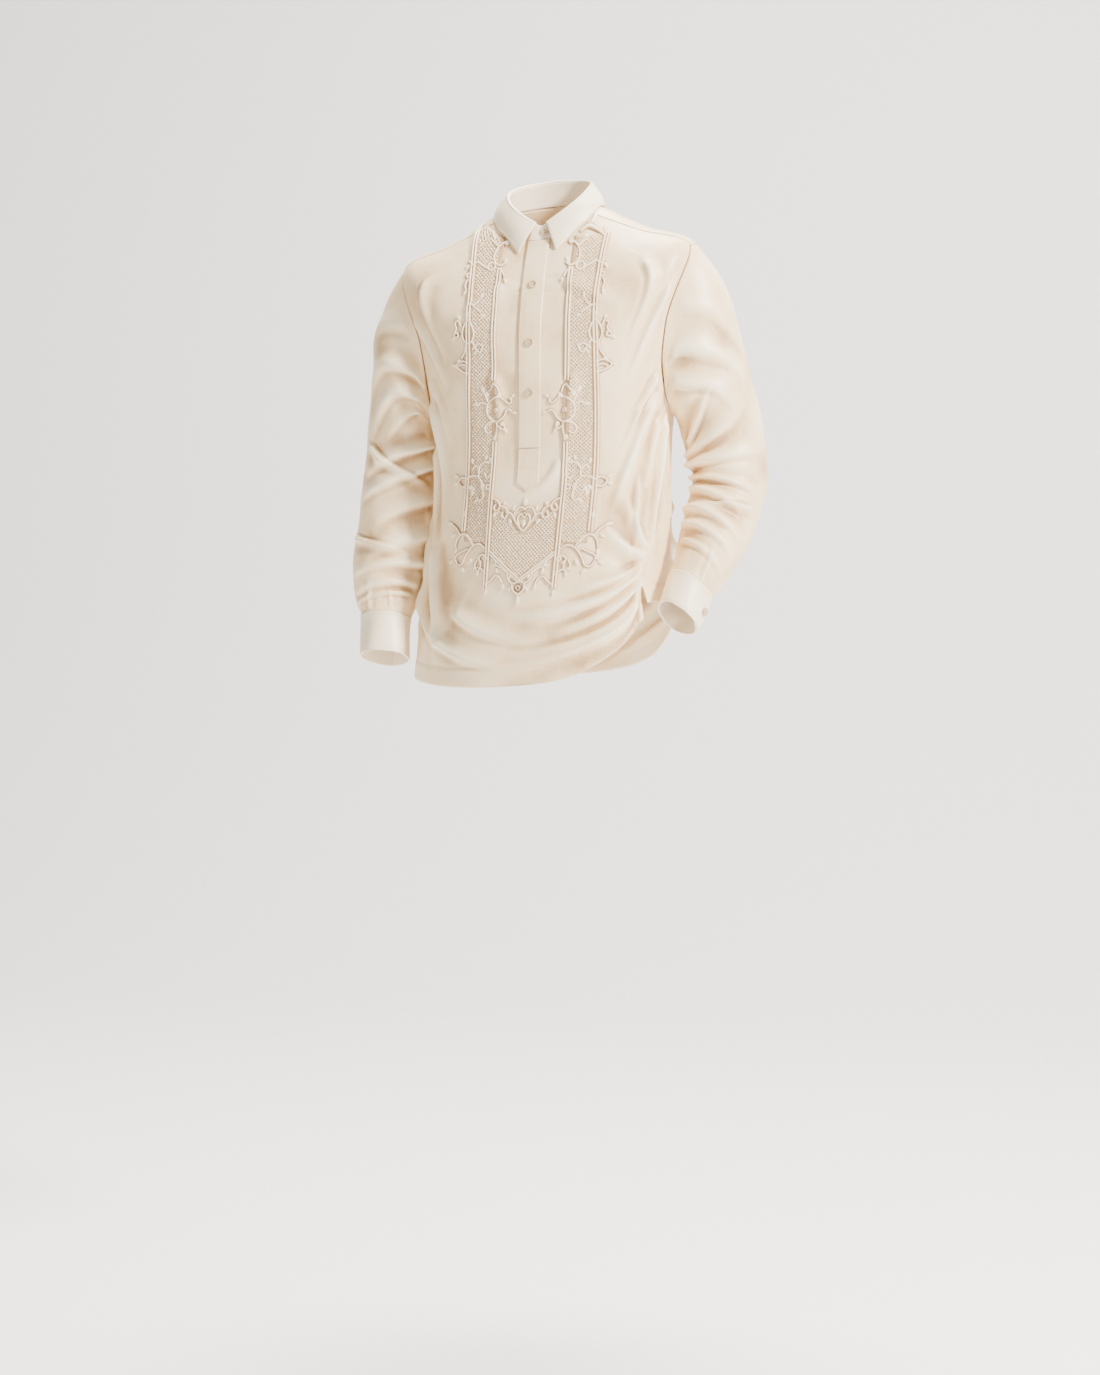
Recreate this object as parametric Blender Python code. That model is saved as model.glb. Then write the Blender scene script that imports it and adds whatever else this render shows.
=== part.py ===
"""Barong tagalog: a long-sleeved pullover shirt of thin stiff cloth, worn, one hand at the pocket.

Frame: +Z up, the front faces -Y, +X is the wearer's left. The origin is the middle of the neck's base.
Tables are in millimetres and degrees. Around the torso, angle 0 is the centre front and 90 the wearer's
left side. A level is a height on the torso that rises less at the front than at the shoulders.
"""

import bmesh
import bpy
import numpy as np
from mathutils import Vector

MM = 0.001
CLOTH = 1.2
CUFF_CLOTH = 1.8
COLLAR_CLOTH = 1.6
TRIM_CLOTH = 1.0
SEAM_GAP = 0.8
LAY_GAP = 0.6

TORSO_ROUNDNESS = 2.3
SHOULDER_ROLL = 0.07
ROLL_STARTS = -400.0
UNDERARM_LEVEL = -285.0
YOKE_BACK_LEVEL = -135.0
SHOULDER_LEVEL = -110.0
NECK_LEVEL = 0.0
SIDE_ANGLE = 90.0
FRONT_DIP_ENDS = -350.0
LOWEST_LEVEL = -700.0
NORMAL_STEP = 1.0
HEM_LEVEL_GUESS = -620.0
HEM_PASSES = 4
ARC_PER_DEGREE = 2.7

TORSO = (
    ("level", "front_z", "side_z", "back_z", "half_width", "front", "back", "centre_x", "turn"),
    np.array(
        [
            (-700, -700, -700, -700, 196, 127, 132, -3, -10.0),
            (-560, -560, -560, -560, 186, 124, 127, 0, -9.5),
            (-460, -460, -460, -460, 173, 119, 119, 4, -8.5),
            (-350, -350, -350, -350, 165, 116, 111, 7, -6.0),
            (-285, -290, -285, -285, 169, 118, 112, 5, -4.0),
            (-180, -215, -170, -182, 188, 117, 112, 2, -2.5),
            (-110, -160, -67, -104, 206, 110, 103, 0, -2.0),
            (-50, -98, -36, -40, 136, 89, 84, 0, -2.0),
            (0, -48, 0, 8, 67, 61, 62, 0, -2.0),
        ],
        float,
    ),
)
ARMHOLE = (
    ("level", "front_angle", "back_angle"),
    np.array(
        [
            (-285, 90, 90),
            (-270, 80, 99),
            (-240, 71, 108),
            (-190, 66, 113),
            (-135, 70, 108),
            (-110, 81, 100),
        ],
        float,
    ),
)
YOKE_FRONT = (("level", "angle"), np.array([(-110, 81), (-50, 73), (0, 62)], float))
SEAM_LEFT = (
    ("level", "angle"),
    np.array(
        [(-700, 68), (-600, 67), (-560, 66), (-519, 64), (-490, 69), (-445, 79), (-375, 88), (-285, 90)],
        float,
    ),
)
VENT_TOP = -519.0
VENT_OPENS = 0.5
VENT_WIDEST = 46.0
HEM_FRONT = (
    ("angle", "level"),
    np.array(
        [(-90, -646), (-60, -655), (-25, -662), (0, -658), (20, -645), (40, -615), (55, -586), (68, -562)],
        float,
    ),
)
HEM_BACK = (
    ("angle", "level"),
    np.array([(70, -545), (105, -550), (125, -576), (148, -625), (180, -652), (225, -655), (270, -646)], float),
)
HEM_DEEP = 25.0

DENTS = (
    ("angle", "level", "radius", "depth"),
    np.array([(84, -552, 62, 27), (100, -470, 70, 5)], float),
)
FOLD_COLUMNS = ("from_angle", "from_level", "to_angle", "to_level", "width", "height")
FRONT_FOLDS = np.array(
    [
        (60, -520, 20, -580, 15, 7),
        (60, -495, 44, -500, 14, 5),
        (64, -470, 45, -440, 15, 5),
        (56, -545, -5, -612, 15, 7),
        (66, -262, 40, -420, 15, 4),
        (-66, -250, -48, -400, 15, 4),
        (-78, -400, -60, -560, 15, 5),
        (-62, -480, -30, -610, 17, 5),
    ],
    float,
)
BACK_FOLDS = np.array(
    [
        (112, -200, 150, -420, 18, 6),
        (248, -205, 215, -430, 18, 6),
        (100, -430, 165, -545, 18, 6),
        (105, -520, 170, -625, 20, 7),
        (262, -430, 200, -600, 20, 6),
        (165, -300, 172, -560, 20, 5),
    ],
    float,
)
EDGE_FADE = 14.0
FOLD_LOSS = 0.7
SLEEVE_FOLD_ENDS = 0.3

SLEEVE_COLUMNS = ("along", "out_x", "y", "z", "tilt", "half_out", "half_front", "pitch")
SLEEVE_RIGHT = (
    SLEEVE_COLUMNS,
    np.array(
        [
            (0.00, 188, 0, -172, 9, 108, 60, 0),
            (0.08, 200, 2, -201, 22, 90, 63, 0),
            (0.17, 209.5, 4, -234, 36, 70, 61, 0),
            (0.27, 211.5, 7, -268, 55, 53.5, 58, 0),
            (0.39, 213, 10, -318, 79, 50, 56, 0),
            (0.51, 219, 12, -373, 90, 53, 55, 4),
            (0.62, 221, 9, -425, 90, 53, 54, 10),
            (0.74, 228, 0, -478, 90, 54, 52, 15),
            (0.84, 232, -8, -518, 90, 50, 48, 18),
            (0.93, 232, -15, -550, 90, 42, 41, 20),
            (1.00, 231, -20, -569, 90, 34.5, 37, 20),
            (1.14, 229, -36, -625, 90, 33, 36, 20),
        ],
        float,
    ),
)
SLEEVE_LEFT = (
    SLEEVE_COLUMNS,
    np.array(
        [
            (0.00, 188, 0, -163, 9, 108, 60, 0),
            (0.08, 207, 4, -192, 23, 92, 64, 0),
            (0.17, 221, 9, -232, 37, 73.5, 63, 0),
            (0.27, 230, 15, -265, 58, 60.5, 60, 0),
            (0.39, 240, 24, -316, 80, 56, 58, 0),
            (0.51, 247, 34, -366, 93, 56, 58, 8),
            (0.62, 244, 26, -405, 102, 51, 55, 22),
            (0.74, 235, 8, -441, 110, 50, 52, 30),
            (0.84, 226, -8, -471, 116, 46, 48, 32),
            (0.93, 215, -22, -500, 121, 39, 41, 32),
            (1.00, 204, -32, -523, 124, 33.5, 37, 32),
            (1.14, 190, -57, -566, 124, 30, 35, 32),
        ],
        float,
    ),
)
SLEEVE_LENGTH = 480.0
SLEEVE_ARC_PER_DEGREE = 0.95
SLEEVE_OUT_AT_TOP = 1.6
SLEEVE_OUT_BELOW = 3.4
ARMHOLE_BLEND = 0.2
CUFF_GAP_ALONG = 0.004
CUFF_EASE = 1.6
CUFF_TOP = 1.0
CUFF_END = 1.14
CUFF_LAP = 15.0
CUFF_LAP_EASES = 90.0
CUFF_LAP_LIFT = 2.6
CUFF_LAP_AT_RIGHT = 240.0
CUFF_LAP_AT_LEFT = 5.0
SLEEVE_FOLDS_RIGHT = np.array(
    [
        (150, 0.44, 20, 0.53, 9, 6),
        (160, 0.52, 30, 0.62, 9, 5),
        (170, 0.80, 10, 0.86, 8, 5),
        (60, 0.05, 20, 0.40, 12, 5),
        (230, 0.48, 330, 0.56, 9, 5),
        (240, 0.78, 340, 0.84, 9, 4),
    ],
    float,
)
SLEEVE_FOLDS_LEFT = np.array(
    [
        (150, 0.50, 25, 0.42, 9, 7),
        (155, 0.56, 20, 0.53, 9, 7),
        (165, 0.64, 60, 0.70, 9, 5),
        (60, 0.05, 25, 0.36, 12, 5),
        (225, 0.52, 320, 0.46, 10, 6),
        (230, 0.60, 330, 0.62, 10, 5),
        (170, 0.80, 20, 0.86, 8, 4),
    ],
    float,
)

STAND_TOP = (
    ("angle", "half_width", "depth", "z"),
    np.array(
        [(0, 57, 56, -28), (45, 57, 56, 2), (90, 57, 55, 26), (135, 57, 55, 37), (180, 57, 55, 42)],
        float,
    ),
)
STAND_LAP_ANGLE = 10.0
STAND_LAP_LIFT = 2.6
STAND_LAP_EASES = 70.0
STAND_INSET = 1.0
FALL_STARTS = 5.0
FALL_LIFT = 3.4
FALL_FOLD_LIFT = 2.8
FALL_LAP_LIFT = 2.2
FALL_LAP_FROM = 20.0
FALL_LAP_TO = 90.0
FALL_FOLD_PART = 1.02
FALL_EDGE = (
    ("angle", "torso_angle", "level"),
    np.array(
        [(5, 13, -19), (25, 31, -9), (50, 53, -8), (90, 90, -6), (135, 135, -7), (180, 180, -8)],
        float,
    ),
)
FALL_BULGE = 3.0

PLACKET_HALF = 16.0
PLACKET_CLOTH = 1.4
PLACKET_TOP = -1.0
PLACKET_BOTTOM = -332.0
TAB_TOP = -332.6
TAB_SHOULDER = -380.0
TAB_TIP = -392.0
TAB_BLUNT = 0.05
BAND_INNER = 50.0
BAND_OUTER = 90.0
BAND_TOP = -40.0
BAND_GAP = 1.3
BAND_BOTTOM = -515.0
BASE_TOP_SIDE = -403.0
BASE_TOP_TIP = -449.0
BASE_LOW_SIDE = -478.0
BASE_LOW_TIP = -532.0

BUTTON_RADIUS = 5.75
BUTTON_DEEP = 2.6
BUTTON_SIDES = 16
BUTTON_EDGE = 0.6
STAND_BUTTON_GAP = 0.3
CUFF_BUTTON_GAP = 0.5
SMALL_ANGLE = 0.01
BUTTON_LEVELS = {"button_1": -62.0, "button_2": -146.0, "button_3": -242.0}

FRONT_STEPS = (0.0, 16.0, 33.0, 50.0, 70.0, 90.0)
FRONT_SIDE_STEPS = 6
LOW_ROWS = 14
FRONT_ARM_ROWS = 8
FRONT_TOP_ROWS = 7
BACK_COLUMNS = 20
BACK_ARM_ROWS = 6
YOKE_ROWS = 5
YOKE_BENDS = (0, 0.06, 0.12, 0.15, 0.19, 0.23, 0.3, 0.4, 0.5)
SLEEVE_AROUND = 18
SLEEVE_PLACES = np.concatenate([[0, 0.04], np.linspace(0.09, 0.995, 18)])
ARMHOLE_POINTS = 40
OVER_SHOULDER_POINTS = 5
CUFF_AROUND = 20
STAND_AROUND = 26
FALL_AROUND = 28
FALL_ROWS = 4
PLACKET_ROWS = 17
BAND_ROWS = 20
BASE_COLUMNS = 8
BASE_ROWS = 5
UNIFORM_FROM = -75.0
UNIFORM_TO = -20.0

WARM_CLOTH = (0.86, 0.76, 0.60, 1.0)
PALE_CLOTH = (0.90, 0.83, 0.70, 1.0)
THREAD = (0.88, 0.78, 0.62, 1.0)
SHELL = (0.72, 0.60, 0.44, 1.0)


def clear_scene():
    for obj in list(bpy.data.objects):
        bpy.data.objects.remove(obj)


def read(table, name, at):
    """Smooth value of a table's column at a place in its first column."""
    heads, rows = table
    places = rows[:, 0]
    values = rows[:, heads.index(name)]
    slopes = np.gradient(values, places)
    at = np.clip(at, places[0], places[-1])
    i = np.clip(np.searchsorted(places, at) - 1, 0, len(places) - 2)
    step = places[i + 1] - places[i]
    f = (at - places[i]) / step
    start = values[i] * (2 * f**3 - 3 * f**2 + 1) + slopes[i] * step * (f**3 - 2 * f**2 + f)
    return start + values[i + 1] * (3 * f**2 - 2 * f**3) + slopes[i + 1] * step * (f**3 - f**2)


def smoothstep(low, high, at):
    f = np.clip((at - low) / (high - low), 0, 1)
    return f * f * (3 - 2 * f)


def superellipse(angle, half_width, front, back):
    """Points of a rounded oval section at angles from its front, and each angle's cosine."""
    s = np.sin(np.radians(angle))
    c = np.cos(np.radians(angle))
    x = half_width * np.sign(s) * np.abs(s) ** (2 / TORSO_ROUNDNESS)
    y = -np.where(c > 0, front, back) * np.sign(c) * np.abs(c) ** (2 / TORSO_ROUNDNESS)
    return x, y, c


def dent_depth(angle, level):
    """Depth of the hollow that the wrist presses into the left side."""
    depth = np.zeros(np.broadcast(angle, level).shape)
    for where, height, radius, deep in DENTS[1]:
        reach = np.hypot((angle - where) * ARC_PER_DEGREE, level - height)
        depth += deep * np.exp(-((reach / radius) ** 2))
    return depth


def torso_point(angle, level):
    """Points of the smooth torso form."""
    angle, level = np.broadcast_arrays(np.asarray(angle, float), np.asarray(level, float))
    half_width = read(TORSO, "half_width", level) - dent_depth(angle, level)
    x, y, c = superellipse(angle, half_width, read(TORSO, "front", level), read(TORSO, "back", level))
    side_z = np.where(level < UNDERARM_LEVEL, level, read(TORSO, "side_z", level))
    end_z = np.where(c > 0, read(TORSO, "front_z", level), read(TORSO, "back_z", level))
    end_z = np.where(level < FRONT_DIP_ENDS, level, end_z)
    z = side_z + (end_z - side_z) * c * c
    turn = np.radians(read(TORSO, "turn", level))
    turned_x = x * np.cos(turn) - y * np.sin(turn) + read(TORSO, "centre_x", level)
    turned_y = x * np.sin(turn) + y * np.cos(turn)
    z = z + SHOULDER_ROLL * turned_x * smoothstep(ROLL_STARTS, UNDERARM_LEVEL / 2, level)
    return np.stack([turned_x, turned_y, z], axis=-1)


def torso_normal(angle, level):
    """Outward directions of the torso form, from a small step around it and a small step up."""
    around = torso_point(angle + NORMAL_STEP / 2, level) - torso_point(angle - NORMAL_STEP / 2, level)
    below = np.maximum(level - NORMAL_STEP, LOWEST_LEVEL + 2 * NORMAL_STEP)
    up = torso_point(angle, below + 2 * NORMAL_STEP) - torso_point(angle, below)
    normal = np.cross(around, up)
    return normal / np.linalg.norm(normal, axis=-1, keepdims=True)


def fold_height(folds, across, along, across_scale, along_scale):
    """Height of a set of folds, each strongest where it starts and fading to its other end."""
    height = np.zeros(np.broadcast(across, along).shape)
    for start_a, start_b, end_a, end_b, width, tall in folds:
        run = np.array([(end_a - start_a) * across_scale, (end_b - start_b) * along_scale])
        da = (across - start_a) * across_scale
        db = (along - start_b) * along_scale
        f = np.clip((da * run[0] + db * run[1]) / (run @ run), 0, 1)
        reach = np.hypot(da - f * run[0], db - f * run[1])
        height += tall * (1 - FOLD_LOSS * f) * np.exp(-((reach / width) ** 2))
    return height


def cloth_point(angle, level, folds, edge_reach, lift):
    """Points of a torso panel with its folds, moved out by lift. Folds fade at the panel's edges."""
    fade = smoothstep(0, EDGE_FADE, edge_reach)
    height = fold_height(folds, angle, level, ARC_PER_DEGREE, 1.0) * fade + lift
    return torso_point(angle, level) + torso_normal(angle, level) * height[..., None]


def front_edge(level, side):
    """Angle of the front's edge: side seam, then armhole, then the yoke seam. side is 1 on the left."""
    seam = read(SEAM_LEFT, "angle", level) if side > 0 else np.full_like(level, SIDE_ANGLE)
    arm = read(ARMHOLE, "front_angle", level)
    yoke = read(YOKE_FRONT, "angle", level)
    return np.where(level < UNDERARM_LEVEL, seam, np.where(level < SHOULDER_LEVEL, arm, yoke))


def back_edge(level, side):
    seam = read(SEAM_LEFT, "angle", level) if side > 0 else np.full_like(level, SIDE_ANGLE)
    if side > 0:
        seam = seam + np.clip((VENT_TOP - level) * VENT_OPENS, 0, VENT_WIDEST)
    return np.where(level < UNDERARM_LEVEL, seam, read(ARMHOLE, "back_angle", level))


def angle_of_offset(offset, level):
    """Angle of the points at a sideways distance from the centre front."""
    ratio = np.clip(np.abs(offset) / read(TORSO, "half_width", level), 0, 1)
    return np.degrees(np.arcsin(ratio ** (TORSO_ROUNDNESS / 2))) * np.sign(offset)


def degrees_for(gap):
    return gap / ARC_PER_DEGREE


def make_object(name, points, thickness, material, closed=False, flip=False):
    """A wall on a grid of points: rows of points, the first row lowest, moved in from the outer face."""
    rows, columns = points.shape[0] - 1, points.shape[1] - 1
    form = bmesh.new()
    bmesh.ops.create_grid(form, x_segments=columns, y_segments=rows, size=1)
    for vert, place in zip(form.verts, points.reshape(-1, 3)):
        vert.co = place * MM
    if closed:
        bmesh.ops.remove_doubles(form, verts=form.verts, dist=1e-6)
    if flip:
        bmesh.ops.reverse_faces(form, faces=form.faces)
    mesh = bpy.data.meshes.new(name)
    form.to_mesh(mesh)
    form.free()
    obj = bpy.data.objects.new(name, mesh)
    bpy.context.collection.objects.link(obj)
    mesh.materials.append(material)
    mesh.shade_smooth()
    wall = obj.modifiers.new("wall", "SOLIDIFY")
    wall.thickness = thickness * MM
    wall.offset = -1
    return obj


def plain_material(name, colour, roughness):
    material = bpy.data.materials.new(name)
    material.use_nodes = True
    shader = material.node_tree.nodes["Principled BSDF"]
    shader.inputs["Base Color"].default_value = colour
    shader.inputs["Roughness"].default_value = roughness
    shader.inputs["Metallic"].default_value = 0.0
    return material


def front_levels():
    """Levels of the front's rows between the underarm and the neck."""
    arm = np.linspace(UNDERARM_LEVEL, SHOULDER_LEVEL, FRONT_ARM_ROWS + 1)[1:]
    top = np.linspace(SHOULDER_LEVEL, NECK_LEVEL, FRONT_TOP_ROWS + 1)[1:]
    return np.concatenate([arm, top])


def low_level(hem, row, rows):
    """Level of a row between the hem and the underarm. Row 1 is the top of the turned hem."""
    fold = hem + HEM_DEEP
    return hem if row == 0 else fold + (UNDERARM_LEVEL - fold) * (row - 1) / (rows - 1)


def front_angles(level):
    """Angles of the front's columns at each level of one row."""
    level = np.atleast_1d(level)
    gap = degrees_for(SEAM_GAP / 2)
    left = front_edge(level, 1) - gap
    right = -(front_edge(level, -1) - gap)
    half = len(FRONT_STEPS) - 1 + FRONT_SIDE_STEPS
    uniform = smoothstep(UNIFORM_FROM, UNIFORM_TO, level)
    columns = []
    for k in range(-half, half + 1):
        side = np.sign(k) if k else 1
        edge = left if side > 0 else right
        step = abs(k)
        if step < len(FRONT_STEPS):
            by_offset = angle_of_offset(FRONT_STEPS[step] * side, level)
        else:
            last = angle_of_offset(FRONT_STEPS[-1] * side, level)
            part = (step - len(FRONT_STEPS) + 1) / FRONT_SIDE_STEPS
            by_offset = last + (edge - last) * part
        columns.append(by_offset * (1 - uniform) + edge * (step / half) * uniform)
    return np.stack(columns, axis=-1)


def front_grid(lift=0.0, hem_only=False):
    """Rows of points of the front panel, or of its hem."""
    columns = 2 * (len(FRONT_STEPS) - 1 + FRONT_SIDE_STEPS) + 1
    rows = []
    for row in range(2 if hem_only else LOW_ROWS + 1):
        level = np.full(columns, HEM_LEVEL_GUESS)
        for _ in range(HEM_PASSES):
            angle = np.diagonal(front_angles(level)).copy()
            level = low_level(read(HEM_FRONT, "level", angle), row, LOW_ROWS)
        rows.append((angle, level))
    for level in () if hem_only else front_levels():
        level = np.full(columns, float(level))
        rows.append((np.diagonal(front_angles(level)).copy(), level))
    angle = np.array([row[0] for row in rows])
    level = np.array([row[1] for row in rows])
    edge = np.minimum(front_edge(level, 1) - angle, angle + front_edge(level, -1))
    return cloth_point(angle, level, FRONT_FOLDS, edge * ARC_PER_DEGREE, lift)


def back_grid(lift=0.0, hem_only=False):
    """Rows of points of the back panel, or of its hem, from its left edge round to its right one."""
    columns = BACK_COLUMNS
    gap = degrees_for(SEAM_GAP / 2)
    across = np.linspace(0, 1, columns + 1)
    high = np.linspace(UNDERARM_LEVEL, YOKE_BACK_LEVEL - SEAM_GAP, BACK_ARM_ROWS + 1)[1:]
    rows = []
    for row in range(2 if hem_only else LOW_ROWS + 1):
        level = np.full(columns + 1, HEM_LEVEL_GUESS)
        for _ in range(HEM_PASSES):
            left = back_edge(level, 1) + gap
            right = 360 - back_edge(level, -1) - gap
            angle = left + (right - left) * across
            level = low_level(read(HEM_BACK, "level", angle), row, LOW_ROWS)
        rows.append((angle, level))
    for height in () if hem_only else high:
        level = np.full(columns + 1, height)
        left = back_edge(level, 1) + gap
        right = 360 - back_edge(level, -1) - gap
        rows.append((left + (right - left) * across, level))
    angle = np.array([row[0] for row in rows])
    level = np.array([row[1] for row in rows])
    edge = np.minimum(angle - back_edge(level, 1), 360 - back_edge(level, -1) - angle)
    return cloth_point(angle, level, BACK_FOLDS, edge * ARC_PER_DEGREE, lift)


def yoke_low(angle):
    """Level of the yoke's lower edge: the shoulder end of each armhole, then the seam across the back."""
    folded = np.where(angle > 180, 360 - angle, angle)
    armhole_end = read(ARMHOLE, "back_angle", np.array(SHOULDER_LEVEL))
    back_end = read(ARMHOLE, "back_angle", np.array(YOKE_BACK_LEVEL))
    part = np.clip((folded - armhole_end) / (back_end - armhole_end), 0, 1)
    return SHOULDER_LEVEL + (YOKE_BACK_LEVEL - SHOULDER_LEVEL) * part


def yoke_grid():
    """Rows of points of the yoke, from its lower edge up to the neck, left front round to right front."""
    across = np.array(YOKE_BENDS + tuple(1 - bend for bend in reversed(YOKE_BENDS[:-1])))
    points = []
    for part in np.linspace(0, 1, YOKE_ROWS + 1):
        start = read(YOKE_FRONT, "angle", np.array(SHOULDER_LEVEL * (1 - part))) + degrees_for(SEAM_GAP)
        angle = start + (360 - 2 * start) * across
        points.append(torso_point(angle, yoke_low(angle) * (1 - part)))
    return np.array(points)


def along_curve(points, fractions):
    """Points at even fractions of a curve's length."""
    lengths = np.linalg.norm(np.diff(points, axis=0), axis=1)
    total = np.concatenate([[0], np.cumsum(lengths)]) / lengths.sum()
    return np.stack([np.interp(fractions, total, points[:, i]) for i in range(3)], axis=-1)


def armhole_ring(side, turns):
    """Points of an armhole at sleeve angles: 0 at the shoulder, 90 in front, 180 under the arm."""
    level = np.linspace(SHOULDER_LEVEL, UNDERARM_LEVEL, ARMHOLE_POINTS)
    heights = np.concatenate([np.full(OVER_SHOULDER_POINTS - 1, SHOULDER_LEVEL), level])
    halves = []
    for name in ("front_angle", "back_angle"):
        edge = read(ARMHOLE, name, level)
        over_shoulder = np.linspace(SIDE_ANGLE, edge[0], OVER_SHOULDER_POINTS)[:-1]
        halves.append(torso_point(side * np.concatenate([over_shoulder, edge]), heights))
    front_half, back_half = halves
    turned = np.mod(turns, 360)
    ahead = along_curve(front_half, np.clip(turned / 180, 0, 1))
    behind = along_curve(back_half, np.clip((360 - turned) / 180, 0, 1))
    return np.where((turned <= 180)[:, None], ahead, behind)


def sleeve_ring(table, side, turns, along, ease=0.0):
    """A section of the arm's tube at a place along it, in the tube's own tilted plane."""
    tilt = np.radians(read(table, "tilt", along))
    pitch = np.radians(read(table, "pitch", along))
    centre = np.array([side * read(table, "out_x", along), read(table, "y", along), read(table, "z", along)])
    out = np.array([side * np.sin(tilt), 0, np.cos(tilt)])
    down = np.array([side * np.cos(tilt), 0, -np.sin(tilt)])
    ahead = np.array([0, -np.cos(pitch), 0]) - down * np.sin(pitch)
    turn = np.radians(turns)[:, None]
    a = read(table, "half_out", along) + ease
    b = read(table, "half_front", along) + ease
    return centre + out * a * np.cos(turn) + ahead * b * np.sin(turn)


def sleeve_fold_height(folds, turns, along):
    """Height of the sleeve's folds, the same on both sides of the turn where the tube closes."""
    height = np.zeros(turns.shape)
    for whole_turn in (-360, 0, 360):
        height += fold_height(folds, turns + whole_turn, along, SLEEVE_ARC_PER_DEGREE, SLEEVE_LENGTH)
    return height * np.sin(np.pi * along) ** SLEEVE_FOLD_ENDS


def sleeve_grid(table, side, folds):
    """Rings of points of a sleeve, from its armhole down to its cuff seam."""
    turns = np.linspace(0, 360, SLEEVE_AROUND + 1)
    seam = armhole_ring(side, turns)
    below = (1 - np.cos(np.radians(turns))) / 2
    seam[:, 0] += side * (SLEEVE_OUT_AT_TOP + (SLEEVE_OUT_BELOW - SLEEVE_OUT_AT_TOP) * below)
    rows = []
    for along in SLEEVE_PLACES:
        ring = sleeve_ring(table, side, turns, along)
        if along < ARMHOLE_BLEND:
            keep = 1 - smoothstep(0, ARMHOLE_BLEND, along)
            offset = seam - sleeve_ring(table, side, turns, 0.0)
            ring = ring + offset * keep
        centre = ring[:-1].mean(axis=0)
        outward = (ring - centre) / np.linalg.norm(ring - centre, axis=1, keepdims=True)
        rows.append(ring + outward * sleeve_fold_height(folds, turns, along)[:, None])
    return np.array(rows)


def cuff_grid(table, side, lap_at):
    """A cuff: a band once round the wrist and a little more, its upper end lapped over its lower end."""
    radius = read(table, "half_out", (CUFF_TOP + CUFF_END) / 2)
    lap = np.degrees(CUFF_LAP / radius)
    turns = np.linspace(lap_at, lap_at + 360 + lap, CUFF_AROUND + 1)
    lift = CUFF_LAP_LIFT * (1 - smoothstep(0, CUFF_LAP_EASES, turns - lap_at))
    rows = []
    for along in np.linspace(CUFF_TOP + CUFF_GAP_ALONG, CUFF_END, 3):
        ring = sleeve_ring(table, side, turns, along, CUFF_EASE)
        centre = sleeve_ring(table, side, np.arange(0, 360, 30.0), along).mean(axis=0)
        outward = (ring - centre) / np.linalg.norm(ring - centre, axis=1, keepdims=True)
        rows.append(ring + outward * lift[:, None])
    return np.array(rows)


def stand_point(angle, part, lift):
    """Points of the collar's stand: part 0 at the neck seam, 1 at its top edge."""
    folded = np.abs(np.mod(angle + 180, 360) - 180)
    low = torso_point(angle, np.full_like(angle, NECK_LEVEL))
    wide = read(STAND_TOP, "half_width", folded)
    deep = read(STAND_TOP, "depth", folded)
    x, y, _ = superellipse(angle, wide, deep, deep)
    z = read(STAND_TOP, "z", folded) + SHOULDER_ROLL * x
    high = np.stack([x, y, z], axis=-1)
    low = low + np.array([0, 0, LAY_GAP])
    point = low + (high - low) * part
    flat = np.stack([x, y, 0 * x], axis=-1)
    return point + flat / np.linalg.norm(flat, axis=-1, keepdims=True) * lift[..., None]


def stand_grid():
    """Rows of points of the stand, whose left end laps over its right one."""
    angle = np.linspace(-STAND_LAP_ANGLE, 360 + STAND_LAP_ANGLE, STAND_AROUND + 1)
    lift = STAND_LAP_LIFT * (1 - smoothstep(0, STAND_LAP_EASES, angle + STAND_LAP_ANGLE)) - STAND_INSET
    return np.array([stand_point(angle, part, lift) for part in (0.0, 0.5, 1.0)])


def fall_grid():
    """Rows of points of the fall, from its free edge up to its fold over the stand."""
    angle = np.linspace(FALL_STARTS, 360 - FALL_STARTS, FALL_AROUND + 1)
    folded = np.abs(np.mod(angle + 180, 360) - 180)
    side = np.where(angle > 180, -1.0, 1.0)
    edge_angle = read(FALL_EDGE, "torso_angle", folded) * side
    level = read(FALL_EDGE, "level", folded)
    low = torso_point(edge_angle, level) + torso_normal(edge_angle, level) * FALL_LIFT
    over_lap = 1 - smoothstep(FALL_LAP_FROM, FALL_LAP_TO, folded)
    high = stand_point(angle, FALL_FOLD_PART, FALL_FOLD_LIFT + FALL_LAP_LIFT * over_lap)
    points = []
    for part in np.linspace(0, 1, FALL_ROWS + 1):
        bulge = FALL_BULGE * np.sin(np.pi * part)
        point = low + (high - low) * part
        flat = point * np.array([1, 1, 0])
        points.append(point + flat / np.linalg.norm(flat, axis=-1, keepdims=True) * bulge)
    return np.array(points)


def laid_grid(offsets, levels, lift):
    """Points on the front, at sideways offsets and levels, moved out by lift."""
    angle = angle_of_offset(offsets, levels)
    return cloth_point(angle, levels, FRONT_FOLDS, np.full(angle.shape, EDGE_FADE), lift)


def placket_grid():
    levels = np.linspace(PLACKET_BOTTOM, PLACKET_TOP, PLACKET_ROWS)
    offsets, levels = np.meshgrid(np.array([-1, 0, 1]) * PLACKET_HALF, levels)
    return laid_grid(offsets, levels, LAY_GAP + PLACKET_CLOTH)


def tab_grid():
    low, middle = (TAB_TIP + TAB_SHOULDER) / 2, (TAB_SHOULDER + TAB_TOP) / 2
    levels = np.array([TAB_TIP, low, TAB_SHOULDER, middle, TAB_TOP])
    halves = np.array([TAB_BLUNT, 0.5, 1, 1, 1]) * PLACKET_HALF
    offsets = halves[:, None] * np.array([-1, 0, 1])
    return laid_grid(offsets, np.repeat(levels[:, None], 3, axis=1), LAY_GAP + PLACKET_CLOTH)


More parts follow.
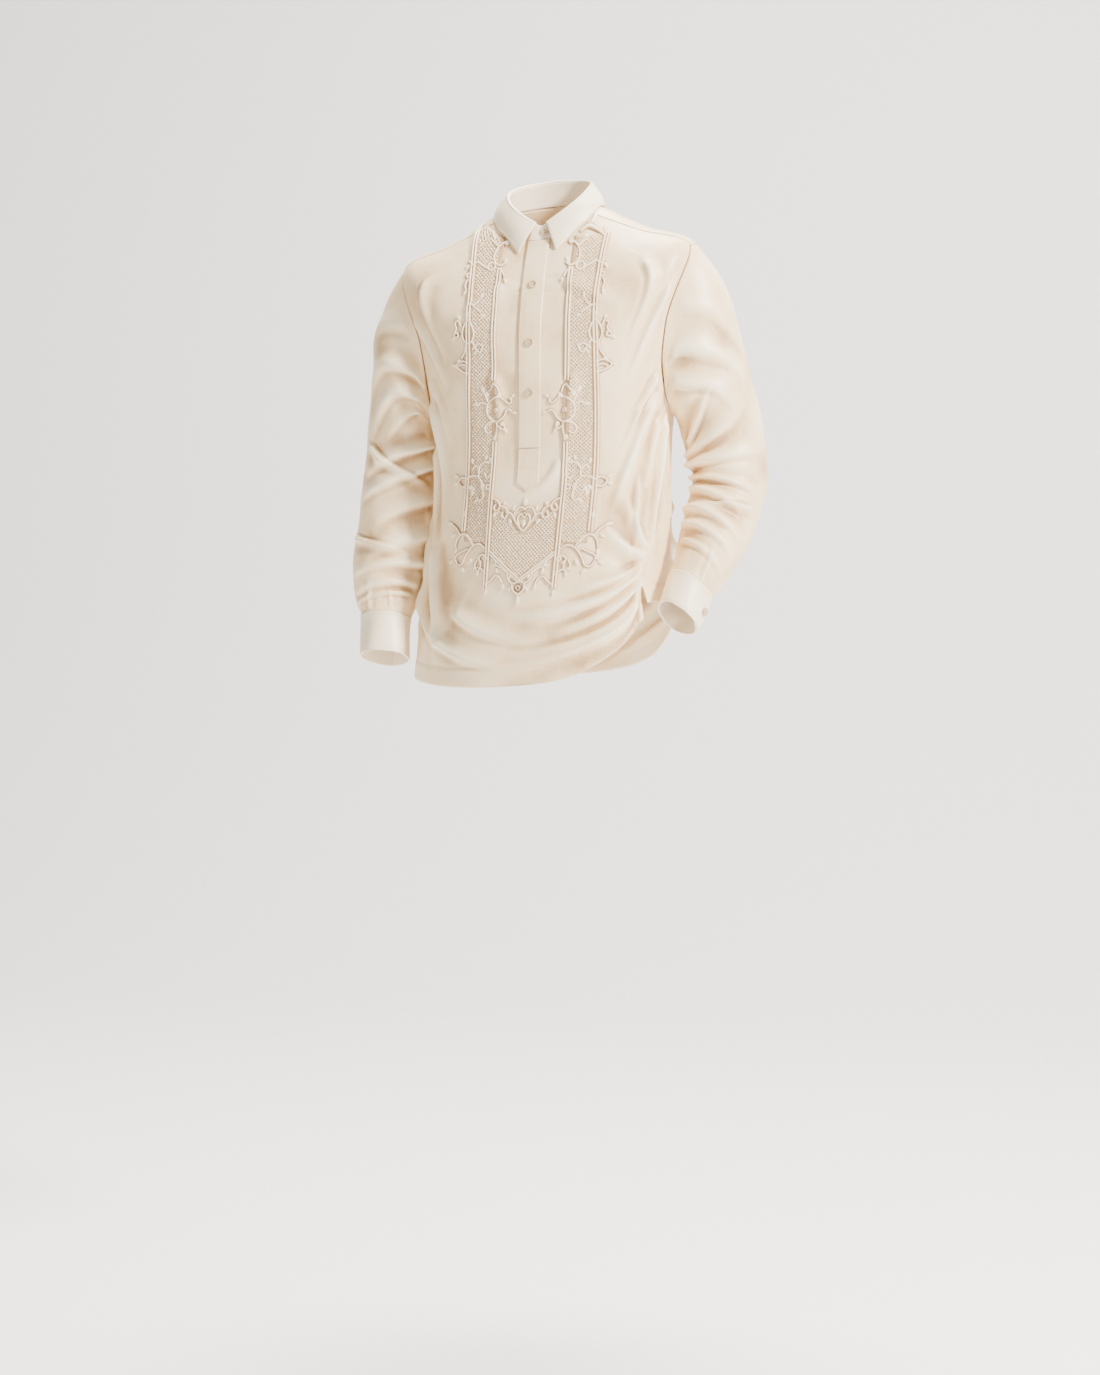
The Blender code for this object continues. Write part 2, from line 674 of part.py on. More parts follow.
def band_grid(side):
    levels = np.linspace(BAND_BOTTOM, BAND_TOP, BAND_ROWS)
    inner, outer = BAND_INNER + SEAM_GAP, BAND_OUTER
    offsets = side * np.array([inner, (inner + outer) / 2, outer])[:: int(side)]
    offsets, levels = np.meshgrid(offsets, levels)
    return laid_grid(offsets, levels, BAND_GAP + TRIM_CLOTH)


def base_grid():
    """Rows of points of the V of openwork below the placket, between its two pointed edges."""
    offset = np.linspace(-BAND_INNER, BAND_INNER, BASE_COLUMNS + 1)
    point = 1 - np.abs(offset) / BAND_INNER
    high = BASE_TOP_SIDE + (BASE_TOP_TIP - BASE_TOP_SIDE) * point
    low = BASE_LOW_SIDE + (BASE_LOW_TIP - BASE_LOW_SIDE) * point
    part = np.linspace(0, 1, BASE_ROWS + 1)[:, None]
    offsets = np.repeat(offset[None], BASE_ROWS + 1, axis=0)
    return laid_grid(offsets, low + (high - low) * part, LAY_GAP + TRIM_CLOTH)


def make_button(name, place, outward, material):
    """A flat round button standing on its seat, its axis outward."""
    form = bmesh.new()
    bmesh.ops.create_cone(
        form, cap_ends=True, segments=BUTTON_SIDES, radius1=BUTTON_RADIUS * MM,
        radius2=(BUTTON_RADIUS - BUTTON_EDGE) * MM, depth=BUTTON_DEEP * MM,
    )
    mesh = bpy.data.meshes.new(name)
    form.to_mesh(mesh)
    form.free()
    mesh.materials.append(material)
    obj = bpy.data.objects.new(name, mesh)
    bpy.context.collection.objects.link(obj)
    centre = place + outward * (LAY_GAP + BUTTON_DEEP / 2)
    obj.location = centre * MM
    obj.rotation_mode = "QUATERNION"
    obj.rotation_quaternion = Vector(outward).to_track_quat("Z", "Y")
    return obj


def grid_seat(grid, row, column):
    """Place and outward direction of one point of a grid."""
    across = grid[row, min(column + 1, grid.shape[1] - 1)] - grid[row, max(column - 1, 0)]
    up = grid[min(row + 1, grid.shape[0] - 1), column] - grid[max(row - 1, 0), column]
    normal = np.cross(across, up)
    return grid[row, column], normal / np.linalg.norm(normal)


def make_buttons(material, stand):
    lift = LAY_GAP + PLACKET_CLOTH
    for name, level in BUTTON_LEVELS.items():
        seat = laid_grid(np.array([0.0]), np.array([level]), lift)[0]
        make_button(name, seat, torso_normal(np.array([SMALL_ANGLE]), np.array([level]))[0], material)
    place, outward = grid_seat(stand, 1, 1)
    make_button("button_collar", place + outward * STAND_BUTTON_GAP, outward, material)


def make_cuff(name, table, side, lap_at, cloth, shell):
    grid = cuff_grid(table, side, lap_at)
    make_object(name, grid, CUFF_CLOTH, cloth, flip=side < 0)
    place, outward = grid_seat(grid, 1, 1)
    make_button("button_" + name, place + side * outward * CUFF_BUTTON_GAP, side * outward, shell)


def main():
    clear_scene()
    body = plain_material("body cloth", WARM_CLOTH, 0.45)
    pale = plain_material("collar and cuff cloth", PALE_CLOTH, 0.5)
    thread = plain_material("openwork", THREAD, 0.6)
    shell = plain_material("button shell", SHELL, 0.3)
    make_object("front", front_grid(), CLOTH, body)
    make_object("back", back_grid(), CLOTH, body)
    make_object("yoke", yoke_grid(), CLOTH, body)
    inside = -(CLOTH + LAY_GAP)
    make_object("hem_front", front_grid(inside, hem_only=True), TRIM_CLOTH, body)
    make_object("hem_back", back_grid(inside, hem_only=True), TRIM_CLOTH, body)
    make_object("sleeve_right", sleeve_grid(SLEEVE_RIGHT, -1, SLEEVE_FOLDS_RIGHT), CLOTH, body, True, True)
    make_object("sleeve_left", sleeve_grid(SLEEVE_LEFT, 1, SLEEVE_FOLDS_LEFT), CLOTH, body, True)
    make_cuff("cuff_right", SLEEVE_RIGHT, -1, CUFF_LAP_AT_RIGHT, pale, shell)
    make_cuff("cuff_left", SLEEVE_LEFT, 1, CUFF_LAP_AT_LEFT, pale, shell)
    stand = stand_grid()
    make_object("collar_stand", stand, COLLAR_CLOTH, pale)
    make_object("collar_fall", fall_grid(), COLLAR_CLOTH, pale)
    make_object("placket", placket_grid(), PLACKET_CLOTH, body)
    make_object("placket_tab", tab_grid(), PLACKET_CLOTH, body)
    make_object("calado_left", band_grid(1), TRIM_CLOTH, thread)
    make_object("calado_right", band_grid(-1), TRIM_CLOTH, thread)
    make_object("calado_base", base_grid(), TRIM_CLOTH, thread)
    make_buttons(shell, stand)


main()
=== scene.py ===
"""The looks of a barong tagalog: a pullover shirt of stiff cream cloth with raised cord embroidery.

The front faces -Y, +X is the wearer's left, +Z is up, and the origin is the middle of the neck's base.
Cloth sizes are in millimetres. Around the torso angle 0 is the centre front and 90 the left side seam.
"""

import math
import bmesh
import bpy
import numpy as np
from mathutils import Matrix, Vector


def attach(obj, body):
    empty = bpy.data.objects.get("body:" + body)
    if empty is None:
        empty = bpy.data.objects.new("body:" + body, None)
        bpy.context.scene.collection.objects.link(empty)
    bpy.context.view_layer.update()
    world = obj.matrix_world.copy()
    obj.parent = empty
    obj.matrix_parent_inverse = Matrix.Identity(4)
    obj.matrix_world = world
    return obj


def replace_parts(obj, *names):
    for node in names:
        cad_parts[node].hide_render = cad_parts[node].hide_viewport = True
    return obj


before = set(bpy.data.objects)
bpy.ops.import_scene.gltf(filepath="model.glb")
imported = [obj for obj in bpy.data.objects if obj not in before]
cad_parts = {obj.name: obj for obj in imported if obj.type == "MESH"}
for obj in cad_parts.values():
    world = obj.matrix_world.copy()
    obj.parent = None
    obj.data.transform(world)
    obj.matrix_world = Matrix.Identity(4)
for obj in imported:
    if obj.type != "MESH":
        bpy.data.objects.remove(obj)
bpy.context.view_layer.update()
MM = 0.001

# ---------------------------------------------------------------------------------------------------
# The cloth: a stiff silky weave of fine, slightly uneven threads, warm cream, with a soft sheen.
# Collar and cuffs are the same cloth, doubled and paler. Every cloth material shares one weave group.
# ---------------------------------------------------------------------------------------------------
# Each cloth's tone runs from its shade colour through its middle colour to its light colour. Random clouds and
# slubs move it, and so does each point's fold height: painted shade in fold hollows, painted highlight on fold
# ridges.
BODY_COLOUR = (0.88, 0.66, 0.39, 1)
BODY_SHADE = (0.49, 0.30, 0.145, 1)
BODY_LIGHT = (0.95, 0.81, 0.57, 1)
PALE_COLOUR = (0.94, 0.80, 0.60, 1)
PALE_SHADE = (0.86, 0.67, 0.45, 1)
PALE_LIGHT = (0.96, 0.86, 0.70, 1)
THREAD_PITCH = 0.0005
CLOUD_SIZE = 0.055
CLOUD_TONES = ((0.30, 0.3), (0.50, 0.55), (0.72, 0.8))
SLUB_TONE = 0.35
BUMP_DISTANCE = 0.0003


def add(tree, kind, inputs, **settings):
    """A shader node with its settings, and each input set to a value or linked to another's output."""
    node = tree.nodes.new("ShaderNode" + kind)
    for name, value in settings.items():
        setattr(node, name, value)
    for name, value in inputs.items():
        if isinstance(value, bpy.types.NodeSocket):
            tree.links.new(value, node.inputs[name])
        else:
            node.inputs[name].default_value = value
    return node


def add_math(tree, kind, one, two):
    return add(tree, "Math", {0: one, 1: two}, operation=kind).outputs[0]


def add_mix(tree, factor, one, two):
    return add(tree, "Mix", {"Factor": factor, "A": one, "B": two}, data_type="RGBA").outputs["Result"]


def add_ramp(tree, factor, stops):
    """Grey tones at places along a factor."""
    ramp = add(tree, "ValToRGB", {"Fac": factor})
    elements = ramp.color_ramp.elements
    while len(elements) < len(stops):
        elements.new(1)
    for element, (place, tone) in zip(elements, stops):
        element.position, element.color = place, (tone, tone, tone, 1)
    return ramp.outputs["Color"]


def add_noise(tree, uv, scale_x, scale_y, detail):
    place = add(tree, "Mapping", {"Vector": uv, "Scale": (scale_x, scale_y, 1)}).outputs["Vector"]
    return add(tree, "TexNoise", {"Vector": place, "Scale": 1.0, "Detail": detail}).outputs["Fac"]


def weave_group():
    """Weave in a piece's own UV, in metres: random clouds of tone, slubs, painted shade in fold hollows and
    painted highlight on fold ridges, and a bump height.
    """
    tree = bpy.data.node_groups.new("weave", "ShaderNodeTree")
    for name, in_out, kind in (
        ("shade", "INPUT", "Color"), ("middle", "INPUT", "Color"), ("light", "INPUT", "Color"),
        ("colour", "OUTPUT", "Color"), ("height", "OUTPUT", "Float"), ("roughness", "OUTPUT", "Float"),
    ):
        tree.interface.new_socket(name=name, in_out=in_out, socket_type="NodeSocket" + kind)
    given = tree.nodes.new("NodeGroupInput").outputs
    uv = add(tree, "UVMap", {}).outputs["UV"]
    clouds = add_ramp(tree, add_noise(tree, uv, 1 / CLOUD_SIZE, 0.6 / CLOUD_SIZE, 3), CLOUD_TONES)
    across = add_noise(tree, uv, 0.02 / THREAD_PITCH, 0.7 / THREAD_PITCH, 2)
    along = add_noise(tree, uv, 0.7 / THREAD_PITCH, 0.02 / THREAD_PITCH, 2)
    slubs = add_math(tree, "ADD", across, along)
    # Fold height stored per point: painted highlight on ridges, painted shade in hollows.
    fold_shading = add(tree, "Attribute", {}, attribute_name="fold_shading").outputs["Fac"]
    slub_tone = add_math(tree, "MULTIPLY", add_math(tree, "SUBTRACT", slubs, 1.0), SLUB_TONE)
    tone = add_math(tree, "ADD", add_math(tree, "ADD", clouds, slub_tone), fold_shading)
    low = add_math(tree, "MULTIPLY", tone, 2.0)
    high = add_math(tree, "SUBTRACT", low, 1.0)
    colour = add_mix(tree, low, given["shade"], given["middle"])
    colour = add_mix(tree, high, colour, given["light"])
    place = {"Vector": uv, "Scale": (1 / THREAD_PITCH, 1 / THREAD_PITCH, 1)}
    place = add(tree, "Mapping", place).outputs["Vector"]
    check = add(tree, "TexChecker", {"Vector": place, "Scale": 1.0}).outputs["Fac"]
    outputs = tree.nodes.new("NodeGroupOutput").inputs
    tree.links.new(colour, outputs["colour"])
    tree.links.new(add_math(tree, "ADD", add_math(tree, "MULTIPLY", check, 0.4), slubs), outputs["height"])
    tree.links.new(add_math(tree, "ADD", add_math(tree, "MULTIPLY", slubs, 0.12), 0.30), outputs["roughness"])
    return tree


WEAVE = weave_group()


def new_material(name, values):
    """A material, its node tree and its shader, with the shader's own constants set."""
    material = bpy.data.materials.new(name)
    material.use_nodes = True
    shader = material.node_tree.nodes["Principled BSDF"]
    for socket, value in values.items():
        shader.inputs[socket].default_value = value
    return material, material.node_tree, shader


def add_bump(tree, shader, height, strength):
    bump = add(tree, "Bump", {"Height": height, "Strength": strength, "Distance": BUMP_DISTANCE})
    tree.links.new(bump.outputs["Normal"], shader.inputs["Normal"])


def cloth_material(name, shade, middle, light, sheen=0.2):
    material, tree, shader = new_material(name, {
        "Sheen Weight": sheen, "Sheen Roughness": 0.35, "Sheen Tint": (1.0, 0.93, 0.80, 1),
        "Specular IOR Level": 0.5,
    })
    weave = add(tree, "Group", {}, node_tree=WEAVE)
    for socket, colour in (("shade", shade), ("middle", middle), ("light", light)):
        weave.inputs[socket].default_value = colour
    tree.links.new(weave.outputs["colour"], shader.inputs["Base Color"])
    tree.links.new(weave.outputs["roughness"], shader.inputs["Roughness"])
    add_bump(tree, shader, weave.outputs["height"], 0.12)
    return material


body_cloth = cloth_material("cream silk weave", BODY_SHADE, BODY_COLOUR, BODY_LIGHT)
pale_cloth = cloth_material("pale doubled weave", PALE_SHADE, PALE_COLOUR, PALE_LIGHT, 0.15)

# ---------------------------------------------------------------------------------------------------
# Front: one piece from side seam to side seam, cut whole for a pullover, slit under the placket only.
# It hangs from the shoulders; the wrist at the left hip pulls its lower edge up into raking folds.
# ---------------------------------------------------------------------------------------------------
CLOTH = 1.0
ROUNDNESS = 2.3
SHOULDER_ROLL = 0.07
ROLL_STARTS = -400.0
UNDERARM = -285.0
YOKE_BACK = -135.0
SHOULDER = -110.0
ARC = 2.7
VENT_TOP = -519.0
VENT_OPENS = 0.5
VENT_WIDEST = 46.0
TORSO = (
    ("level", "front_z", "side_z", "back_z", "half_width", "front", "back", "centre_x", "turn"),
    np.array([
        (-700, -700, -700, -700, 196, 127, 132, -3, -10.0),
        (-560, -560, -560, -560, 186, 124, 127, 0, -9.5),
        (-460, -460, -460, -460, 173, 119, 119, 4, -8.5),
        (-350, -350, -350, -350, 165, 116, 111, 7, -6.0),
        (-285, -290, -285, -285, 169, 118, 112, 5, -4.0),
        (-180, -215, -170, -182, 188, 117, 112, 2, -2.5),
        (-110, -160, -67, -104, 206, 110, 103, 0, -2.0),
        (-50, -98, -36, -40, 136, 89, 84, 0, -2.0),
        (0, -48, 0, 8, 67, 61, 62, 0, -2.0),
    ], float),
)
ARMHOLE = (
    ("level", "front_angle", "back_angle"),
    np.array([
        (-285, 90, 90), (-270, 80, 99), (-240, 71, 108), (-190, 66, 113), (-135, 70, 108), (-110, 81, 100),
    ], float),
)
YOKE_FRONT = (("level", "angle"), np.array([(-110, 81), (-50, 73), (0, 62)], float))
SEAM_LEFT = (
    ("level", "angle"),
    np.array([
        (-700, 68), (-600, 67), (-560, 66), (-519, 64), (-490, 69), (-445, 79), (-375, 88), (-285, 90),
    ], float),
)
HEM_FRONT = (
    ("angle", "level"),
    np.array([
        (-90, -646), (-60, -655), (-25, -662), (0, -658), (20, -645), (40, -615), (55, -586), (68, -562),
    ], float),
)
DENTS = np.array([(84, -552, 62, 27), (100, -470, 70, 5)], float)
# Each fold is three places of (angle, level) along its curved line, then its width and its height.
FRONT_FOLDS = np.array([
    (4, -62, 8, -60.5, 12.5, -61, 3, 1.2),
    (4, -69, 8, -68, 12.5, -66, 3, 1.2),
    (-4, -63, -8, -62, -12.5, -61, 3, 1.2),
    (-4, -70, -8, -68.5, -12.5, -68, 3, 1.2),
    (63, -512, 44, -552, 14, -584, 10, 8.5),
    (63, -500, 34, -548, -8, -566, 10, 6.0),
    (64, -490, 40, -518, 22, -520, 9, 4.0),
    (65, -480, 48, -470, 36, -440, 10, 5.0),
    (66, -470, 56, -440, 50, -396, 9, 4.5),
    (62, -530, 40, -590, -2, -618, 10, 7.5),
    (60, -545, 34, -612, -14, -640, 10, 4.5),
    (68, -268, 50, -330, 42, -420, 12, 5.0),
    (66, -240, 54, -280, 46, -340, 9, 4.0),
    (74, -300, 64, -350, 62, -420, 9, 3.5),
    (82, -296, 74, -400, 67, -500, 8, 5.5),
    (58, -380, 55, -440, 58, -500, 8, 3.5),
    (-68, -262, -56, -320, -54, -430, 12, 5.0),
    (-64, -225, -54, -270, -48, -330, 9, 3.5),
    (-78, -330, -64, -400, -62, -500, 11, 5.0),
    (-84, -420, -66, -500, -64, -600, 12, 5.5),
    (-60, -470, -44, -560, -40, -630, 14, 5.0),
    (-76, -520, -60, -580, -30, -618, 10, 4.0),
    (-30, -560, -14, -592, 8, -600, 12, 3.0),
    (-40, -600, -24, -628, -4, -634, 10, 3.0),
    (-62, -150, -50, -180, -44, -236, 11, 3.5),
    (60, -140, 50, -180, 45, -240, 10, 3.0),
    (-52, -96, -48, -140, -40, -190, 9, 2.5),
    (50, -90, 46, -130, 42, -180, 9, 2.5),
    (-14, -200, -12, -280, -13, -330, 8, 2.0),
    (16, -210, 14, -280, 15, -340, 8, 2.0),
    (13, -62, 24, -92, 34, -140, 12, 1.6),
    (-13, -62, -22, -92, -32, -138, 12, 1.6),
    (12, -350, 8, -390, -6, -404, 10, 2.0),
], float)
EDGE_FADE = 12.0
HEM_GUESS = -620.0
HEM_DEEP = 25.0
HEM_STEP = 0.9
HEM_GROOVE = 1.1
GROOVE_WIDTH = 2.2
# Fold height in mm that gives the fullest painted shade or highlight, and that fullest share of the tone.
FOLD_SHADING_HEIGHT = 9.0
FOLD_SHADING_MOST = 0.7
FRONT_COLUMNS, FRONT_LOW_ROWS, FRONT_HIGH_ROWS = 168, 128, 84
NARROW_SIDE = 0.4
CREASE_DEPTH = 1.8
TROUGH_DEPTH, TROUGH_AWAY, TROUGH_WIDTH = 0.5, 2.1, 1.1


def read(table, name, at):
    """Smooth value of a table's column at a place in its first column."""
    heads, rows = table
    places, values = rows[:, 0], rows[:, heads.index(name)]
    slopes = np.gradient(values, places)
    at = np.clip(at, places[0], places[-1])
    i = np.clip(np.searchsorted(places, at) - 1, 0, len(places) - 2)
    step = places[i + 1] - places[i]
    f = (at - places[i]) / step
    start = values[i] * (2 * f**3 - 3 * f**2 + 1) + slopes[i] * step * (f**3 - 2 * f**2 + f)
    return start + values[i + 1] * (3 * f**2 - 2 * f**3) + slopes[i + 1] * step * (f**3 - f**2)


def smoothstep(low, high, at):
    f = np.clip((at - low) / (high - low), 0, 1)
    return f * f * (3 - 2 * f)


def superellipse(angle, half_width, front, back):
    s, c = np.sin(np.radians(angle)), np.cos(np.radians(angle))
    x = half_width * np.sign(s) * np.abs(s) ** (2 / ROUNDNESS)
    y = -np.where(c > 0, front, back) * np.sign(c) * np.abs(c) ** (2 / ROUNDNESS)
    return x, y, c


def torso_point(angle, level):
    """Points of the smooth worn form, with the hollow that the wrist presses into its left side."""
    angle, level = np.broadcast_arrays(np.asarray(angle, float), np.asarray(level, float))
    half_width = read(TORSO, "half_width", level)
    for where, height, radius, deep in DENTS:
        away = np.hypot((angle - where) * ARC, level - height) / radius
        half_width = half_width - deep * np.exp(-(away**2))
    x, y, c = superellipse(angle, half_width, read(TORSO, "front", level), read(TORSO, "back", level))
    side_z = np.where(level < UNDERARM, level, read(TORSO, "side_z", level))
    end_z = np.where(c > 0, read(TORSO, "front_z", level), read(TORSO, "back_z", level))
    end_z = np.where(level < UNDERARM - 65, level, end_z)
    z = side_z + (end_z - side_z) * c * c
    turn = np.radians(read(TORSO, "turn", level))
    turned_x = x * np.cos(turn) - y * np.sin(turn) + read(TORSO, "centre_x", level)
    turned_y = x * np.sin(turn) + y * np.cos(turn)
    z = z + SHOULDER_ROLL * turned_x * smoothstep(ROLL_STARTS, UNDERARM / 2, level)
    return np.stack([turned_x, turned_y, z], axis=-1)


def unit(vectors):
    return vectors / np.maximum(np.linalg.norm(vectors, axis=-1, keepdims=True), 1e-9)


def torso_normal(angle, level):
    around = torso_point(angle + 0.5, level) - torso_point(angle - 0.5, level)
    below = np.maximum(np.asarray(level, float) - 1.0, -698.0)
    return unit(np.cross(around, torso_point(angle, below + 2.0) - torso_point(angle, below)))


def fold_height(folds, across, along, across_scale, along_scale):
    """Height of creases along curved lines: one soft side, one steep side, dying away to their ends."""
    height = np.zeros(np.broadcast(across, along).shape)
    for a1, b1, a2, b2, a3, b3, width, tall in folds:
        f = np.linspace(0, 1, 9)
        line_a = ((1 - f) ** 2 * a1 + 2 * f * (1 - f) * a2 + f**2 * a3) * across_scale
        line_b = ((1 - f) ** 2 * b1 + 2 * f * (1 - f) * b2 + f**2 * b3) * along_scale
        best = np.full(height.shape, 1e9)
        share, side = np.zeros(height.shape), np.zeros(height.shape)
        for k in range(len(f) - 1):
            run_a, run_b = line_a[k + 1] - line_a[k], line_b[k + 1] - line_b[k]
            da, db = across * across_scale - line_a[k], along * along_scale - line_b[k]
            g = np.clip((da * run_a + db * run_b) / (run_a**2 + run_b**2), 0, 1)
            reach = np.hypot(da - g * run_a, db - g * run_b)
            nearer = reach < best
            best = np.where(nearer, reach, best)
            share = np.where(nearer, (k + g) / (len(f) - 1), share)
            side = np.where(nearer, np.sign(run_a * db - run_b * da), side)
        wide = width * np.where(side > 0, 1.0, NARROW_SIDE)
        trough = np.exp(-(((best - TROUGH_AWAY * wide) / (TROUGH_WIDTH * wide)) ** 2))
        ridge = np.exp(-((best / wide) ** 2)) - TROUGH_DEPTH * trough
        height += tall * ridge * smoothstep(0, 0.15, share + 0.05) * (1 - share) ** 0.7
    return height * CREASE_DEPTH


def slow_waves(across, along, size, tall):
    """Low uneven waves over the whole cloth, so that no part of it is a perfect surface."""
    height = 0.0
    for k, (turn, phase) in enumerate(((0.3, 0.0), (1.1, 1.7), (2.0, 4.1), (2.7, 2.3), (0.8, 5.2))):
        step = size * (1 + 0.37 * k)
        travel = across * math.cos(turn) + along * math.sin(turn)
        height = height + np.sin(travel / step * 2 * math.pi + phase)
    return height * tall / 5


def front_edge(level, side):
    seam = read(SEAM_LEFT, "angle", level) if side > 0 else np.full(level.shape, 90.0)
    high = np.where(level < SHOULDER, read(ARMHOLE, "front_angle", level), read(YOKE_FRONT, "angle", level))
    return np.where(level < UNDERARM, seam, high)


def back_edge(level, side):
    seam = np.full(level.shape, 90.0)
    if side > 0:
        seam = read(SEAM_LEFT, "angle", level) + np.clip((VENT_TOP - level) * VENT_OPENS, 0, VENT_WIDEST)
    return np.where(level < UNDERARM, seam, read(ARMHOLE, "back_angle", level))


def hem_step(hem, angle, level):
    """Height of a hem's doubled band above the panel, with a groove along its row of stitches."""
    above = level - read(hem, "level", angle) - HEM_DEEP
    return HEM_STEP * (1 - smoothstep(-1, 2, above)) - HEM_GROOVE * np.exp(-((above / GROOVE_WIDTH) ** 2))


def front_relief(angle, level):
    """Height of the front's creases, and of its doubled hem, above the smooth form."""
    edge = np.minimum(front_edge(level, 1) - angle, angle + front_edge(level, -1)) * ARC
    height = fold_height(FRONT_FOLDS, angle, level, ARC, 1.0) + slow_waves(angle * ARC, level, 85, 2.2)
    return height * smoothstep(0, EDGE_FADE, edge) + hem_step(HEM_FRONT, angle, level)


def front_point(angle, level, lift=0.0):
    """Points of the front with its creases, moved out by lift."""
    height = front_relief(angle, level) + lift
    return torso_point(angle, level) + torso_normal(angle, level) * height[..., None]


def shell(name, points, thickness, material, uv, closed=False, flip=False, relief=None):
    """A thin wall on rows of points, moved in from its outer face, with its UV in metres along the cloth."""
    rows, columns = points.shape[0] - 1, points.shape[1] - 1
    form = bmesh.new()
    bmesh.ops.create_grid(form, x_segments=columns, y_segments=rows, size=1)
    form.verts.index_update()
    layer = form.loops.layers.uv.new("UVMap")
    flat = uv.reshape(-1, 2) * MM
    for face in form.faces:
        for loop in face.loops:
            loop[layer].uv = flat[loop.vert.index]
    for vert, place in zip(form.verts, points.reshape(-1, 3) * MM):
        vert.co = place
    # The fold height becomes a per-point tone: painted highlight on fold ridges, painted shade in fold hollows.
    if relief is not None:
        tone = form.verts.layers.float.new("fold_shading")
        for vert, height in zip(form.verts, np.clip(relief / FOLD_SHADING_HEIGHT, -FOLD_SHADING_MOST, FOLD_SHADING_MOST).ravel()):
            vert[tone] = height
    if closed:
        bmesh.ops.remove_doubles(form, verts=form.verts, dist=1e-6)
    if flip:
        bmesh.ops.reverse_faces(form, faces=form.faces)
    mesh = bpy.data.meshes.new(name)
    form.to_mesh(mesh)
    form.free()
    mesh.shade_smooth()
    mesh.materials.append(material)
    obj = bpy.data.objects.new(name, mesh)
    bpy.context.scene.collection.objects.link(obj)
    wall = obj.modifiers.new("wall", "SOLIDIFY")
    wall.thickness, wall.offset = thickness * MM, -1
    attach(obj, "root")
    return obj


def row_levels(hem, angles_at, low_rows, high_levels, columns):
    """Angles and levels of a panel's rows: even steps from its hem to the underarm, then given levels."""
    angle, level = [], []
    for part in np.linspace(0, 1, low_rows + 1):
        here = np.full(columns + 1, HEM_GUESS)
        for _ in range(4):
            there = angles_at(here)
            low = read(hem, "level", there)
            here = low + (UNDERARM - low) * part
        angle.append(there)
        level.append(here)
    for height in high_levels:
        here = np.full(columns + 1, float(height))
        angle.append(angles_at(here))
        level.append(here)
    return np.array(angle), np.array(level)


def front_angles(level):
    share = np.linspace(0, 1, FRONT_COLUMNS + 1)
    left, right = front_edge(level, 1) - 0.06, -front_edge(level, -1) + 0.06
    return right + (left - right) * share


high = np.linspace(UNDERARM, 0, FRONT_HIGH_ROWS + 1)[1:]
angle, level = row_levels(HEM_FRONT, front_angles, FRONT_LOW_ROWS, high, FRONT_COLUMNS)
front_uv = np.stack([angle * ARC, level], axis=-1)
relief = front_relief(angle, level)
front = shell("front_cloth", front_point(angle, level), CLOTH, body_cloth, front_uv, relief=relief)
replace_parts(front, "front", "hem_front")

# ---------------------------------------------------------------------------------------------------
# Back: one piece below the yoke, held by the shoulder blades and hanging free to the hem.
# Its left edge stands open below the vent, where the wrist passes.
# ---------------------------------------------------------------------------------------------------
HEM_BACK = (
    ("angle", "level"),
    np.array([
        (70, -545), (105, -550), (125, -576), (148, -625), (180, -652), (225, -655), (270, -646),
    ], float),
)
BACK_FOLDS = np.array([
    (112, -215, 128, -300, 150, -430, 14, 6),
    (110, -250, 122, -330, 128, -420, 10, 4),
    (248, -215, 232, -300, 212, -440, 14, 6),
    (250, -255, 240, -340, 236, -440, 10, 4),
    (112, -460, 136, -506, 168, -548, 12, 6),
    (108, -500, 132, -566, 172, -606, 12, 6),
    (106, -410, 120, -434, 140, -446, 10, 3),
    (266, -430, 232, -500, 200, -600, 13, 6),
    (264, -360, 240, -440, 224, -560, 11, 4.5),
    (168, -300, 174, -420, 170, -580, 14, 4.5),
    (190, -330, 186, -450, 192, -620, 12, 4),
    (268, -520, 246, -580, 222, -636, 10, 4),
    (150, -150, 154, -220, 148, -300, 13, 3.5),
    (208, -150, 205, -230, 212, -310, 13, 3.5),
    (140, -560, 160, -600, 178, -640, 10, 3.5),
], float)
BACK_COLUMNS, BACK_LOW_ROWS, BACK_HIGH_ROWS = 128, 96, 40


def back_relief(angle, level):
    edge = np.minimum(angle - back_edge(level, 1), 360 - back_edge(level, -1) - angle) * ARC
    fade = smoothstep(0, EDGE_FADE, edge) * smoothstep(0, 20, YOKE_BACK - level + 4)
    height = fold_height(BACK_FOLDS, angle, level, ARC, 1.0) + slow_waves(angle * ARC, level, 95, 2.4)
    return height * fade + hem_step(HEM_BACK, angle, level)


def back_point(angle, level, lift=0.0):
    height = back_relief(angle, level) + lift
    return torso_point(angle, level) + torso_normal(angle, level) * height[..., None]


def back_angles(level):
    share = np.linspace(0, 1, BACK_COLUMNS + 1)
    left, right = back_edge(level, 1) + 0.06, 360 - back_edge(level, -1) - 0.06
    return left + (right - left) * share


high = np.linspace(UNDERARM, YOKE_BACK - 0.2, BACK_HIGH_ROWS + 1)[1:]
angle, level = row_levels(HEM_BACK, back_angles, BACK_LOW_ROWS, high, BACK_COLUMNS)
back_uv = np.stack([angle * ARC, level], axis=-1)
relief = back_relief(angle, level)
back = shell("back_cloth", back_point(angle, level), CLOTH, body_cloth, back_uv, relief=relief)
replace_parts(back, "back", "hem_back")

# ---------------------------------------------------------------------------------------------------
# Yoke: wraps both shoulders, from a seam just ahead of the ridge to a seam across the shoulder blades.
# Its edges are turned under and lie on the front and back.
# ---------------------------------------------------------------------------------------------------
YOKE_LIFT = 0.7
YOKE_CLOTH = 1.2
YOKE_COLUMNS, YOKE_ROWS = 160, 36


